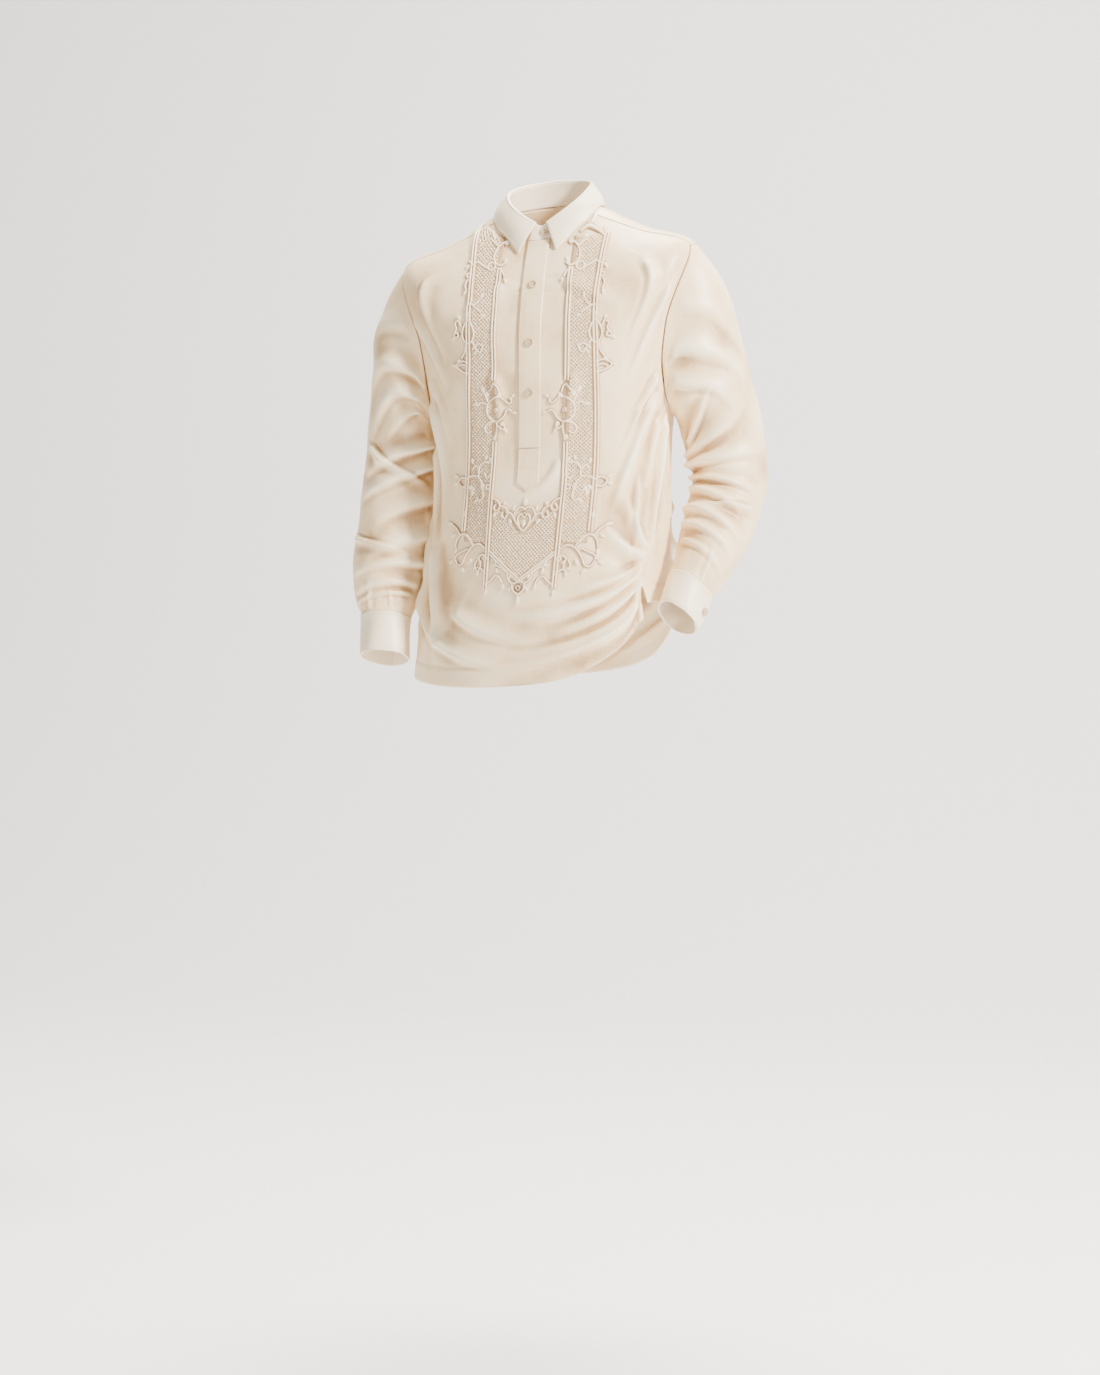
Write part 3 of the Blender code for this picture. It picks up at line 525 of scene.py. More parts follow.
def yoke_low(angle):
    folded = np.where(angle > 180, 360 - angle, angle)
    armhole_end, back_end = read(ARMHOLE, "back_angle", np.array([SHOULDER, YOKE_BACK]))
    share = np.clip((folded - armhole_end) / (back_end - armhole_end), 0, 1)
    return SHOULDER + (YOKE_BACK - SHOULDER) * share


def yoke_point(share, part, lift=0.0):
    """Points of the yoke: share 0 to 1 from left front round the back to right front, part 0 to 1 inward."""
    start = read(YOKE_FRONT, "angle", SHOULDER * (1 - part)) - 0.4
    angle = start + (360 - 2 * start) * share
    level = yoke_low(angle) * (1 - part)
    fade = np.sin(np.pi * share) ** 0.5 * smoothstep(0, 0.15, part)
    height = slow_waves(angle * ARC * 0.6, level, 90, 1.2) * fade + YOKE_LIFT + lift
    return torso_point(angle, level) + torso_normal(angle, level) * height[..., None], angle, level


share, part = np.meshgrid(np.linspace(0, 1, YOKE_COLUMNS + 1), np.linspace(0, 1, YOKE_ROWS + 1))
points, angle, level = yoke_point(share, part)
yoke = shell("yoke_cloth", points, YOKE_CLOTH, body_cloth, np.stack([angle * 1.2, level * 1.6], axis=-1))
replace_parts(yoke, "yoke")

# ---------------------------------------------------------------------------------------------------
# Sleeves: one piece each, set into the armhole and seamed under the arm, gathered a little at the cuff.
# The right arm hangs a little bent; the left elbow is bent more, and its creases fan from the inner elbow.
# ---------------------------------------------------------------------------------------------------
SLEEVE_HEADS = ("along", "out_x", "y", "z", "tilt", "half_out", "half_front", "pitch")
SLEEVE_RIGHT = (
    SLEEVE_HEADS,
    np.array([
        (0.00, 188, 0, -172, 9, 108, 60, 0), (0.08, 200, 2, -201, 22, 90, 63, 0),
        (0.17, 209.5, 4, -234, 36, 70, 61, 0), (0.27, 211.5, 7, -268, 55, 53.5, 58, 0),
        (0.39, 213, 10, -318, 79, 50, 56, 0), (0.51, 219, 12, -373, 90, 53, 55, 4),
        (0.62, 221, 9, -425, 90, 53, 54, 10), (0.74, 228, 0, -478, 90, 54, 52, 15),
        (0.84, 232, -8, -518, 90, 50, 48, 18), (0.93, 232, -15, -550, 90, 42, 41, 20),
        (1.00, 231, -20, -569, 90, 34.5, 37, 20), (1.14, 229, -36, -625, 90, 33, 36, 20),
    ], float),
)
SLEEVE_LEFT = (
    SLEEVE_HEADS,
    np.array([
        (0.00, 188, 0, -163, 9, 108, 60, 0), (0.08, 207, 4, -192, 23, 92, 64, 0),
        (0.17, 221, 9, -232, 37, 73.5, 63, 0), (0.27, 230, 15, -265, 58, 60.5, 60, 0),
        (0.39, 240, 24, -316, 80, 56, 58, 0), (0.51, 247, 34, -366, 93, 56, 58, 8),
        (0.62, 244, 26, -405, 102, 51, 55, 22), (0.74, 235, 8, -441, 110, 50, 52, 30),
        (0.84, 226, -8, -471, 116, 46, 48, 32), (0.93, 215, -22, -500, 121, 39, 41, 32),
        (1.00, 204, -32, -523, 124, 33.5, 37, 32), (1.14, 190, -57, -566, 124, 30, 35, 32),
    ], float),
)
SLEEVE_FOLDS_RIGHT = np.array([
    (125, 0.05, 75, 0.14, 20, 0.32, 10, 5.0),
    (138, 0.11, 92, 0.22, 35, 0.42, 9, 5.5),
    (150, 0.18, 120, 0.28, 75, 0.40, 8, 4.5),
    (70, 0.02, 35, 0.10, -10, 0.26, 10, 4.0),
    (165, 0.39, 110, 0.43, 35, 0.51, 11, 6.0),
    (170, 0.47, 112, 0.51, 22, 0.59, 10, 6.0),
    (40, 0.42, 95, 0.49, 166, 0.545, 7, 4.5),
    (172, 0.575, 125, 0.60, 65, 0.67, 13, 4.0),
    (170, 0.69, 118, 0.73, 60, 0.79, 14, 3.5),
    (174, 0.79, 112, 0.81, 30, 0.84, 9, 4.5),
    (25, 0.70, 75, 0.74, 135, 0.77, 7, 3.5),
    (165, 0.87, 100, 0.885, 20, 0.91, 9, 4.5),
    (150, 0.91, 90, 0.93, 10, 0.955, 6, 4.5),
    (60, 0.99, 63, 0.94, 70, 0.87, 5, 3.5),
    (112, 0.99, 112, 0.95, 104, 0.89, 5, 3.5),
    (330, 0.06, 292, 0.18, 250, 0.34, 9, 5.0),
    (200, 0.41, 262, 0.46, 330, 0.54, 8, 6.0),
    (210, 0.50, 270, 0.53, 335, 0.60, 8, 5.0),
    (205, 0.60, 270, 0.63, 340, 0.67, 8, 4.5),
    (200, 0.74, 262, 0.78, 330, 0.82, 11, 4.5),
    (205, 0.86, 270, 0.88, 345, 0.905, 7, 5.0),
    (250, 0.99, 252, 0.94, 258, 0.87, 5, 3.5),
], float)
SLEEVE_FOLDS_LEFT = np.array([
    (165, 0.46, 110, 0.42, 40, 0.32, 12, 5.5),
    (168, 0.505, 112, 0.485, 25, 0.44, 13, 6.5),
    (168, 0.565, 115, 0.575, 30, 0.60, 10, 5.0),
    (160, 0.63, 110, 0.665, 45, 0.71, 14, 5.0),
    (140, 0.40, 115, 0.33, 82, 0.23, 8, 4.5),
    (112, 0.05, 72, 0.14, 25, 0.28, 10, 5.5),
    (130, 0.10, 96, 0.20, 56, 0.33, 9, 5.0),
    (70, 0.02, 42, 0.10, 8, 0.22, 9, 3.5),
    (170, 0.74, 110, 0.765, 30, 0.80, 12, 4.5),
    (165, 0.82, 100, 0.84, 25, 0.87, 9, 4.5),
    (160, 0.89, 100, 0.91, 20, 0.94, 7, 4.0),
    (35, 0.66, 80, 0.70, 130, 0.73, 7, 3.5),
    (200, 0.47, 252, 0.44, 322, 0.35, 12, 5.5),
    (200, 0.56, 260, 0.55, 330, 0.51, 11, 5.0),
    (205, 0.64, 260, 0.66, 330, 0.69, 11, 4.5),
    (335, 0.06, 300, 0.16, 260, 0.30, 9, 5.0),
    (205, 0.74, 262, 0.77, 335, 0.80, 8, 5.0),
    (210, 0.85, 270, 0.87, 340, 0.90, 7, 5.0),
    (70, 0.99, 72, 0.94, 78, 0.87, 5, 3.0),
], float)
SLEEVE_LENGTH = 480.0
SLEEVE_ARC = 0.95
ARMHOLE_BLEND = 0.2
SLEEVE_AROUND, SLEEVE_ROWS = 108, 176


def along_curve(points, fractions):
    """Points at even fractions of a curve's length."""
    lengths = np.linalg.norm(np.diff(points, axis=0), axis=1)
    total = np.concatenate([[0], np.cumsum(lengths)]) / lengths.sum()
    return np.stack([np.interp(fractions, total, points[:, i]) for i in range(3)], axis=-1)


def armhole_ring(side, turns):
    """Points of an armhole at sleeve angles: 0 at the shoulder, 90 in front, 180 under the arm."""
    level = np.linspace(SHOULDER, UNDERARM, 60)
    heights = np.concatenate([np.full(4, SHOULDER), level])
    halves = []
    for name in ("front_angle", "back_angle"):
        edge = read(ARMHOLE, name, level)
        halves.append(torso_point(side * np.concatenate([np.linspace(90, edge[0], 5)[:-1], edge]), heights))
    turned = np.mod(turns, 360)
    ahead = along_curve(halves[0], np.clip(turned / 180, 0, 1))
    behind = along_curve(halves[1], np.clip((360 - turned) / 180, 0, 1))
    return np.where((turned <= 180)[:, None], ahead, behind)


def sleeve_ring(table, side, turns, along, ease=0.0):
    """A section of the arm's tube at a place along it, in the tube's own tilted plane."""
    tilt, pitch = np.radians(read(table, "tilt", along)), np.radians(read(table, "pitch", along))
    centre = np.array([side * read(table, "out_x", along), read(table, "y", along), read(table, "z", along)])
    out = np.array([side * np.sin(tilt), 0, np.cos(tilt)])
    down = np.array([side * np.cos(tilt), 0, -np.sin(tilt)])
    ahead = np.array([0, -np.cos(pitch), 0]) - down * np.sin(pitch)
    turn = np.radians(turns)[:, None]
    wide, deep = read(table, "half_out", along) + ease, read(table, "half_front", along) + ease
    return centre + out * wide * np.cos(turn) + ahead * deep * np.sin(turn)


def sleeve_height(folds, turns, along):
    """Height of a sleeve's creases and its slow waves, the same on both sides of turn 0."""
    height = np.zeros(turns.shape)
    for whole_turn in (-360, 0, 360):
        height += fold_height(folds, turns + whole_turn, along, SLEEVE_ARC, SLEEVE_LENGTH)
    turn = np.radians(turns)
    height += 1.1 * np.sin(2 * turn + 21 * along) + 0.8 * np.sin(3 * turn - 33 * along + 1)
    return height * np.sin(np.pi * np.clip(along, 0, 1)) ** 0.35


def sleeve_points(table, side, folds, lift=0.0):
    turns = np.linspace(0, 360, SLEEVE_AROUND + 1)
    places = np.linspace(0, 1, SLEEVE_ROWS + 1) ** 1.04 * 1.003
    seam = armhole_ring(side, turns)
    seam[:, 0] += side * (0.9 + 1.6 * (1 - np.cos(np.radians(turns))) / 2)
    first = sleeve_ring(table, side, turns, 0.0)
    rows, relief = [], []
    for along in places:
        ring = sleeve_ring(table, side, turns, along)
        if along < ARMHOLE_BLEND:
            ring = ring + (seam - first) * (1 - smoothstep(0, ARMHOLE_BLEND, along))
        outward = unit(ring - ring[:-1].mean(axis=0))
        relief.append(sleeve_height(folds, turns, np.full(turns.shape, along)))
        rows.append(ring + outward * (relief[-1] + lift)[:, None])
    turns, places = np.meshgrid(turns, places)
    return np.array(rows), np.array(relief), np.stack([turns * SLEEVE_ARC, -places * SLEEVE_LENGTH], axis=-1)


for name, table, side, folds, flat_area in (
    ("sleeve_right", SLEEVE_RIGHT, -1, SLEEVE_FOLDS_RIGHT, 0.145),
    ("sleeve_left", SLEEVE_LEFT, 1, SLEEVE_FOLDS_LEFT, 0.15),
):
    points, relief, uv = sleeve_points(table, side, folds)
    sleeve = shell(name + "_cloth", points, CLOTH, body_cloth, uv, True, side < 0, relief)
    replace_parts(sleeve, name)

# ---------------------------------------------------------------------------------------------------
# Cuffs: doubled bands of pale cloth with a little stiffening, once round the wrist, lapped and buttoned.
# The sleeve's gathered end is caught between the two layers.
# ---------------------------------------------------------------------------------------------------
CUFF_CLOTH = 1.8
CUFF_EASE = 1.6
CUFF_LAP = 15.0
CUFF_LAP_LIFT = 2.6
CUFF_AROUND, CUFF_ROWS = 132, 30


def cuff_point(table, side, lap_at, turns, places, lift=0.0):
    """Points of a cuff, whose upper end laps over its lower end, moved out by lift."""
    rows = []
    for along, here in zip(places, turns):
        ring = sleeve_ring(table, side, here, along, CUFF_EASE)
        centre = sleeve_ring(table, side, np.arange(0, 360, 30.0), along).mean(axis=0)
        over = CUFF_LAP_LIFT * (1 - smoothstep(0, 90, here - lap_at))
        edge = 0.5 * np.sin(np.pi * np.clip((along - 1.004) / 0.136, 0, 1))
        bend = 0.7 * np.sin(np.radians(3 * here + 40)) + 0.5 * np.sin(np.radians(5 * here) + 30 * along)
        rows.append(ring + unit(ring - centre) * (over + edge + bend + lift)[:, None])
    return np.array(rows)


def cuff_turns(table, lap_at, around):
    lap = np.degrees(CUFF_LAP / read(table, "half_out", 1.07))
    return np.linspace(lap_at, lap_at + 360 + lap, around + 1)


for name, table, side, lap_at in (
    ("cuff_right", SLEEVE_RIGHT, -1, 240.0), ("cuff_left", SLEEVE_LEFT, 1, 5.0),
):
    turns = cuff_turns(table, lap_at, CUFF_AROUND)
    turns, places = np.meshgrid(turns, np.linspace(1.004, 1.14, CUFF_ROWS + 1))
    points = cuff_point(table, side, lap_at, turns, places[:, 0])
    uv = np.stack([turns * 0.6, -places * SLEEVE_LENGTH], axis=-1)
    cuff = shell(name + "_cloth", points, CUFF_CLOTH, pale_cloth, uv, flip=side < 0)
    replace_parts(cuff, name)

# ---------------------------------------------------------------------------------------------------
# Collar: a stand sewn to the neck edge, lapped and buttoned in front, and a pointed fall turned down over it.
# Both are pale cloth, doubled and stiffened. The fall has a row of stitches just inside its free edge and its
# ends.
# ---------------------------------------------------------------------------------------------------
COLLAR_CLOTH = 1.5
STAND_TOP = (
    ("angle", "half_width", "depth", "z"),
    np.array([
        (0, 57, 56, -28), (45, 57, 56, 2), (90, 57, 55, 26), (135, 57, 55, 37), (180, 57, 55, 42),
    ], float),
)
FALL_EDGE = (
    ("angle", "torso_angle", "level"),
    np.array([(5, 13, -19), (25, 31, -9), (50, 53, -8), (90, 90, -6), (135, 135, -7), (180, 180, -8)], float),
)
STAND_LAP_ANGLE = 10.0
STAND_LAP_LIFT = 2.6
FALL_STARTS = 5.0
FALL_ROLL = 2.2


def stand_point(angle, part, lift):
    """Points of the collar's stand: part 0 at the neck seam, 1 at its top edge."""
    folded = np.abs(np.mod(angle + 180, 360) - 180)
    low = torso_point(angle, np.zeros_like(angle)) + np.array([0, 0, 0.6])
    half_width, depth = read(STAND_TOP, "half_width", folded), read(STAND_TOP, "depth", folded)
    x, y, _ = superellipse(angle, half_width, depth, depth)
    high = np.stack([x, y, read(STAND_TOP, "z", folded) + SHOULDER_ROLL * x], axis=-1)
    return low + (high - low) * part + unit(np.stack([x, y, 0 * x], axis=-1)) * lift[..., None]


def fall_point(angle, part, lift=0.0):
    """Points of the fall: part 0 at its free edge, 1 at the fold over the top of the stand."""
    folded = np.abs(np.mod(angle + 180, 360) - 180)
    edge_angle = read(FALL_EDGE, "torso_angle", folded) * np.where(angle > 180, -1.0, 1.0)
    level = read(FALL_EDGE, "level", folded)
    low = torso_point(edge_angle, level) + torso_normal(edge_angle, level) * 3.0
    high = stand_point(angle, 1.02, 2.8 + 2.2 * (1 - smoothstep(20, 90, folded)))
    point = low + (high - low) * part[..., None]
    flat = unit(point * np.array([1, 1, 0]))
    rise = 3.0 * np.sin(np.pi * part) + lift + 0.5 * np.sin(np.radians(4 * angle)) * (1 - part)
    return point + flat * rise[..., None], flat


angle = np.linspace(-STAND_LAP_ANGLE, 360 + STAND_LAP_ANGLE, 201)
lift = STAND_LAP_LIFT * (1 - smoothstep(0, 70, angle + STAND_LAP_ANGLE)) - 1.0
parts = np.linspace(0, 1, 15)
points = np.array([stand_point(angle, part, lift) for part in parts])
uv = np.stack(np.meshgrid(angle * 1.05, parts * 36), axis=-1)
stand = shell("collar_stand_cloth", points, COLLAR_CLOTH, pale_cloth, uv)
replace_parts(stand, "collar_stand")

angle, parts = np.meshgrid(np.linspace(FALL_STARTS, 360 - FALL_STARTS, 221), np.linspace(0, 1, 25))
points, flat = fall_point(angle, parts)
roll = [points]
for bend in np.linspace(15, 200, 8):
    over = points[-1] - flat[-1] * FALL_ROLL * (1 - math.cos(math.radians(bend)))
    roll.append((over + np.array([0, 0, FALL_ROLL * math.sin(math.radians(bend))]))[None])
points = np.concatenate(roll)
uv = np.stack(np.meshgrid(angle[0] * 1.15, np.linspace(0, 52, len(points))), axis=-1)
fall = shell("collar_fall_cloth", points, COLLAR_CLOTH, pale_cloth, uv)
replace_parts(fall, "collar_fall")

# ---------------------------------------------------------------------------------------------------
# Placket: a doubled strip down the slit from the neck to the waist, with an under strip to its right,
# and a blunt pointed tab that closes its foot. All are body cloth, pressed flat and stitched at the edges.
# ---------------------------------------------------------------------------------------------------
PLACKET_HALF = 16.0
PLACKET_BOTTOM = -332.0
PLACKET_CLOTH = 1.1
TAB_SHOULDER = -380.0
TAB_TIP = -392.0


def angle_of_offset(offset, level):
    """Angle of the points at a sideways distance from the centre front."""
    ratio = np.clip(np.abs(offset) / read(TORSO, "half_width", level), 0, 1)
    return np.degrees(np.arcsin(ratio ** (ROUNDNESS / 2))) * np.sign(offset)


def laid(offsets, levels, lift):
    """Points on the worn front at sideways distances and levels, moved out by lift."""
    offsets, levels = np.broadcast_arrays(np.asarray(offsets, float), np.asarray(levels, float))
    return front_point(angle_of_offset(offsets, levels), levels, lift)


def laid_strip(name, offsets, levels, lift, thickness, material, nodes=()):
    """A flat strip laid on the front, with any CAD nodes given replaced."""
    uv = np.stack([offsets, levels], axis=-1)
    piece = shell(name, laid(offsets, levels, lift), thickness, material, uv)
    if nodes:
        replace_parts(piece, *nodes)


offsets, levels = np.meshgrid(np.linspace(-1, 1, 17) * PLACKET_HALF, np.linspace(PLACKET_BOTTOM, -1, 181))
crown = 0.5 * (1 - (offsets / PLACKET_HALF) ** 4)
laid_strip(
    "placket_upper", offsets, levels, 2.3 + crown, PLACKET_CLOTH, body_cloth,
    ("placket",),
)
offsets, levels = np.meshgrid(np.linspace(-PLACKET_HALF - 1.6, -4, 9), np.linspace(PLACKET_BOTTOM, -1, 121))
laid_strip(
    "placket_under", offsets, levels, 0.85, 0.6, body_cloth,
)
share, levels = np.meshgrid(np.linspace(-1, 1, 17), np.linspace(TAB_TIP, PLACKET_BOTTOM - 0.6, 49))
halves = PLACKET_HALF * np.clip((levels - TAB_TIP) / (TAB_SHOULDER - TAB_TIP), 0.02, 1)
laid_strip(
    "placket_tab_cloth", share * halves, levels, 1.9 + 0 * share, PLACKET_CLOTH, body_cloth,
    ("placket_tab",),
)

# ---------------------------------------------------------------------------------------------------
# Openwork grounds: two long bands beside the placket and a deep V below it, where threads are drawn out
# of the cloth and the rest is bound into a net. Each ground is a thin sheet lying on the front.
# ---------------------------------------------------------------------------------------------------
OUTER_CORD = (
    ("z", "offset"),
    np.array([(-470, 90), (-400, 90), (-300, 89), (-200, 87.5), (-120, 87), (-40, 92)], float),
)
INNER_CORD = 50.0
BAND_TOP = -42.0
BAND_END = -462.0
V_TOP_SIDE, V_TOP_TIP = -404.0, -446.0
V_LOW_SIDE, V_LOW_TIP = -474.0, -512.0
NET_PITCH = 0.0017
# The net's colours are darker than the body cloth and its pinholes near black: painted shade seen through the
# openwork.
NET_SHADE = (0.42, 0.25, 0.11, 1)
NET_SHADED_COLOUR = (0.56, 0.36, 0.18, 1)
NET_LIGHT = (0.66, 0.45, 0.24, 1)
NET_HOLE_SHADOW = (0.30, 0.16, 0.07, 1)


def level_of(offset, z):
    """Level at which the smooth front stands at height z, at a sideways distance from its middle."""
    level = np.array(z, float)
    for _ in range(9):
        here = torso_point(angle_of_offset(offset, level), level)[..., 2]
        level = np.clip(level - (here - z), -690, 0)
    return level


def net_material():
    """Bound openwork: a net with darker pinholes between its diagonal threads. The net's brown, darker than the
    cloth, and the near-black pinholes are painted shade seen through the openwork.
    """
    material = cloth_material("openwork net", NET_SHADE, NET_SHADED_COLOUR, NET_LIGHT, 0.1)
    tree = material.node_tree
    weave = next(node for node in tree.nodes if node.type == "GROUP")
    uv = add(tree, "UVMap", {}).outputs["UV"]
    turned = {"Vector": uv, "Rotation": (0, 0, math.radians(45)), "Scale": (1 / NET_PITCH, 1 / NET_PITCH, 1)}
    place = add(tree, "Mapping", turned).outputs["Vector"]
    cells = add(tree, "TexVoronoi", {"Vector": place, "Scale": 1.0, "Randomness": 0.25}).outputs["Distance"]
    mix = add_mix(tree, add_ramp(tree, cells, ((0.22, 1), (0.42, 0))), weave.outputs["colour"], NET_HOLE_SHADOW)
    tree.links.new(mix, tree.nodes["Principled BSDF"].inputs["Base Color"])
    return material


net = net_material()


def ground(name, offsets, heights):
    """A thin net sheet over part of the front, given as sideways distances and heights."""
    levels = level_of(offsets, heights)
    sheet = shell(name, laid(offsets, levels, 1.0), 0.5, net, np.stack([offsets, heights], axis=-1))
    return sheet


share, heights = np.meshgrid(np.linspace(0, 1, 21), np.linspace(BAND_END, BAND_TOP, 211))
outer = read(OUTER_CORD, "offset", heights)
for name, side in (("calado_left", 1), ("calado_right", -1)):
    offsets = side * (INNER_CORD + (outer - INNER_CORD) * (share if side > 0 else 1 - share))
    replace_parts(ground(name + "_ground", offsets, heights), name)
share, part = np.meshgrid(np.linspace(-1, 1, 57), np.linspace(0, 1, 37))
high = V_TOP_SIDE + (V_TOP_TIP - V_TOP_SIDE) * (1 - np.abs(share))
low = V_LOW_SIDE + (V_LOW_TIP - V_LOW_SIDE) * (1 - np.abs(share))
base = ground("calado_base_ground", share * INNER_CORD, low + (high - low) * part)
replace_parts(base, "calado_base")

# ---------------------------------------------------------------------------------------------------
# Net and cords: fine bound threads cross the grounds on the diagonal, and in some blocks doubled ones run
# one way only, like a fret. Stiff round cords, couched down in pairs, edge the bands and the V.
# ---------------------------------------------------------------------------------------------------
THREAD_COLOUR = (0.94, 0.80, 0.57, 1)
THREAD_HOLLOW_SHADE = (0.76, 0.53, 0.30, 1)
TWIST_SCALE = 1400
FINE_PITCH = 3.7
FINE_RADIUS = 0.5
BOLD_RADIUS = 0.8
FRET_BLOCK = 13.0
NET_STEP = 1.15
CORD_RADIUS = 1.25
PAIR_GAP = 4.2
CORD_LIFT = 1.7


def twist_group():
    """Twisted silky thread: a height of fine ridges, and a mask that is dark in the hollows between them as
    painted shade.
    """
    tree = bpy.data.node_groups.new("twist", "ShaderNodeTree")
    for name in ("mask", "height"):
        tree.interface.new_socket(name=name, in_out="OUTPUT", socket_type="NodeSocketFloat")
    place = add(tree, "TexCoord", {}).outputs["Object"]
    ridges = add(tree, "TexNoise", {"Vector": place, "Scale": TWIST_SCALE, "Detail": 2}).outputs["Fac"]
    outputs = tree.nodes.new("NodeGroupOutput").inputs
    tree.links.new(add_ramp(tree, ridges, ((0.25, 0), (0.50, 1))), outputs["mask"])
    tree.links.new(ridges, outputs["height"])
    return tree


TWIST = twist_group()


def thread_material(name, colour, dark):
    material, tree, shader = new_material(name, {"Roughness": 0.42, "Sheen Weight": 0.3})
    twist = add(tree, "Group", {}, node_tree=TWIST)
    # Hollows between the twists take the dark colour: painted shade.
    tree.links.new(add_mix(tree, twist.outputs["mask"], dark, colour), shader.inputs["Base Color"])
    add_bump(tree, shader, twist.outputs["height"], 0.35)
    return material


thread = thread_material("embroidery thread", THREAD_COLOUR, THREAD_HOLLOW_SHADE)


def drawn_cords(paths, radius, resolution, scale=1.0):
    """A mesh of round cords along paths, which are lists of three numbers."""
    curve = bpy.data.curves.new("cords", "CURVE")
    curve.dimensions, curve.bevel_depth, curve.bevel_resolution = "3D", radius * scale, resolution
    curve.use_fill_caps = True
    for path in paths:
        spline = curve.splines.new("POLY")
        spline.points.add(len(path) - 1)
        spline.points.foreach_set("co", np.column_stack([np.array(path) * scale, np.ones(len(path))]).ravel())
    drawn = bpy.data.objects.new("cords", curve)
    bpy.context.scene.collection.objects.link(drawn)
    mesh = bpy.data.meshes.new_from_object(drawn.evaluated_get(bpy.context.evaluated_depsgraph_get()))
    bpy.data.objects.remove(drawn)
    bpy.data.curves.remove(curve)
    return mesh


def piece_of(mesh, name, material):
    mesh.name = name
    mesh.materials.clear()
    mesh.materials.append(material)
    mesh.shade_smooth()
    obj = bpy.data.objects.new(name, mesh)
    bpy.context.scene.collection.objects.link(obj)
    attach(obj, "root")
    return obj


def lay_down(mesh):
    """Bends a mesh drawn flat, as sideways distance, height and lift, onto the worn front."""
    flat = np.empty(len(mesh.vertices) * 3)
    mesh.vertices.foreach_get("co", flat)
    offset, z, lift = flat.reshape(-1, 3).T
    mesh.vertices.foreach_set("co", (laid(offset, level_of(offset, z), lift) * MM).ravel())
    mesh.update()
    return mesh


def smooth_path(points, step=1.6, lift=CORD_LIFT):
    """An even path through a few points of (sideways distance, height), laid at one lift."""
    points = np.array(points, float)
    full = np.concatenate([[2 * points[0] - points[1]], points, [2 * points[-1] - points[-2]]])
    path = []
    for a, b, c, d in zip(full, full[1:], full[2:], full[3:]):
        count = max(2, int(np.hypot(*(c - b)) / step))
        f = np.linspace(0, 1, count, endpoint=False)[:, None]
        bend = (-a + c) * f + (2 * a - 5 * b + 4 * c - d) * f**2 + (-a + 3 * b - 3 * c + d) * f**3
        path.append(b + bend / 2)
    path = np.concatenate(path + [points[-1:]])
    return np.column_stack([path, np.full(len(path), lift)])


def in_band(offset, z):
    outer = read(OUTER_CORD, "offset", z) - 3.4
    return (offset > INNER_CORD + PAIR_GAP + 0.3) & (offset < outer) & (z < BAND_TOP) & (z > BAND_END)


def in_base(offset, z):
    share = 1 - np.abs(offset) / INNER_CORD
    low = V_LOW_SIDE + (V_LOW_TIP - V_LOW_SIDE) * share
    high = V_TOP_SIDE + (V_TOP_TIP - V_TOP_SIDE) * share
    return (np.abs(offset) < INNER_CORD - 4) & (z > low + 3) & (z < high - 5)


def net_paths(inside, x_from, x_to, z_from, z_to, side=1):
    """Fine threads both ways across a region, and bold ones one way in alternate blocks."""
    fine, bold = [], []
    spread = x_to - x_from
    x = np.arange(x_from, x_to, NET_STEP)
    for slope in (1, -1):
        for k, start in enumerate(np.arange(z_from - spread, z_to + spread, FINE_PITCH * 1.414)):
            z = start + slope * (x - x_from)
            block = np.floor((x + z) / FRET_BLOCK) + np.floor((x - z) / FRET_BLOCK)
            fret = (np.mod(block, 2) == (slope > 0)) & (np.mod(k, 2) == 0)
            weave = 1.25 + 0.3 * np.sin(x * 2 * math.pi / (2 * FINE_PITCH * 0.707) + k * math.pi)
            for chosen, paths in ((inside(x, z) & ~fret, fine), (inside(x, z) & fret, bold)):
                runs = np.split(np.arange(len(x)), np.flatnonzero(np.diff(chosen.astype(int))) + 1)
                for run in runs:
                    if chosen[run[0]] and len(run) > 2:
                        paths.append(np.column_stack([side * x[run], z[run], weave[run]]))
    return fine, bold


for name, region in (
    ("left", (in_band, 52, 94, BAND_END, BAND_TOP)),
    ("right", (in_band, 52, 94, BAND_END, BAND_TOP, -1)),
    ("base", (in_base, -48, 48, V_LOW_TIP, V_TOP_SIDE)),
):
    fine, bold = net_paths(*region)
    piece_of(lay_down(drawn_cords(fine, FINE_RADIUS, 0)), "net_fine_" + name, thread)
    piece_of(lay_down(drawn_cords(bold, BOLD_RADIUS, 0)), "net_fret_" + name, thread)

cords = []
for side in (1, -1):
    for shift in (0, PAIR_GAP):
        heights = np.linspace(-40, -446, 200)
        offset = read(OUTER_CORD, "offset", heights) + shift
        cords.append(np.column_stack([side * offset, heights, np.full(200, CORD_LIFT)]))
        for top, end in ((-86, -241), (-324, -524)):
            heights = np.linspace(top, end, 80)
            bow = 0.6 * np.sin(heights / 37)
            offset = INNER_CORD - 1 + shift + bow
            cords.append(np.column_stack([side * offset, heights, np.full(80, CORD_LIFT)]))
    for drop in (0, 4.0):
        corner, middle = (side * 47, V_LOW_SIDE - drop), (side * 24, V_LOW_SIDE - 19 - drop)
        cords.append(smooth_path([corner, middle, (0, V_LOW_TIP - drop)]))
piece_of(lay_down(drawn_cords(cords, CORD_RADIUS, 1)), "edging_cords", thread)

# Darker flat bands under the cords, showing on both sides of them: painted shadow of the raised cords.
CORD_SHADOW_COLOUR = (0.50, 0.29, 0.13, 1)
CORD_SHADOW_DARK = (0.38, 0.20, 0.08, 1)
CORD_SHADOW_SPREAD = 2.1
CORD_SHADOW_LIFT = 0.35
cord_shadow_thread = thread_material("painted cord shadow", CORD_SHADOW_COLOUR, CORD_SHADOW_DARK)


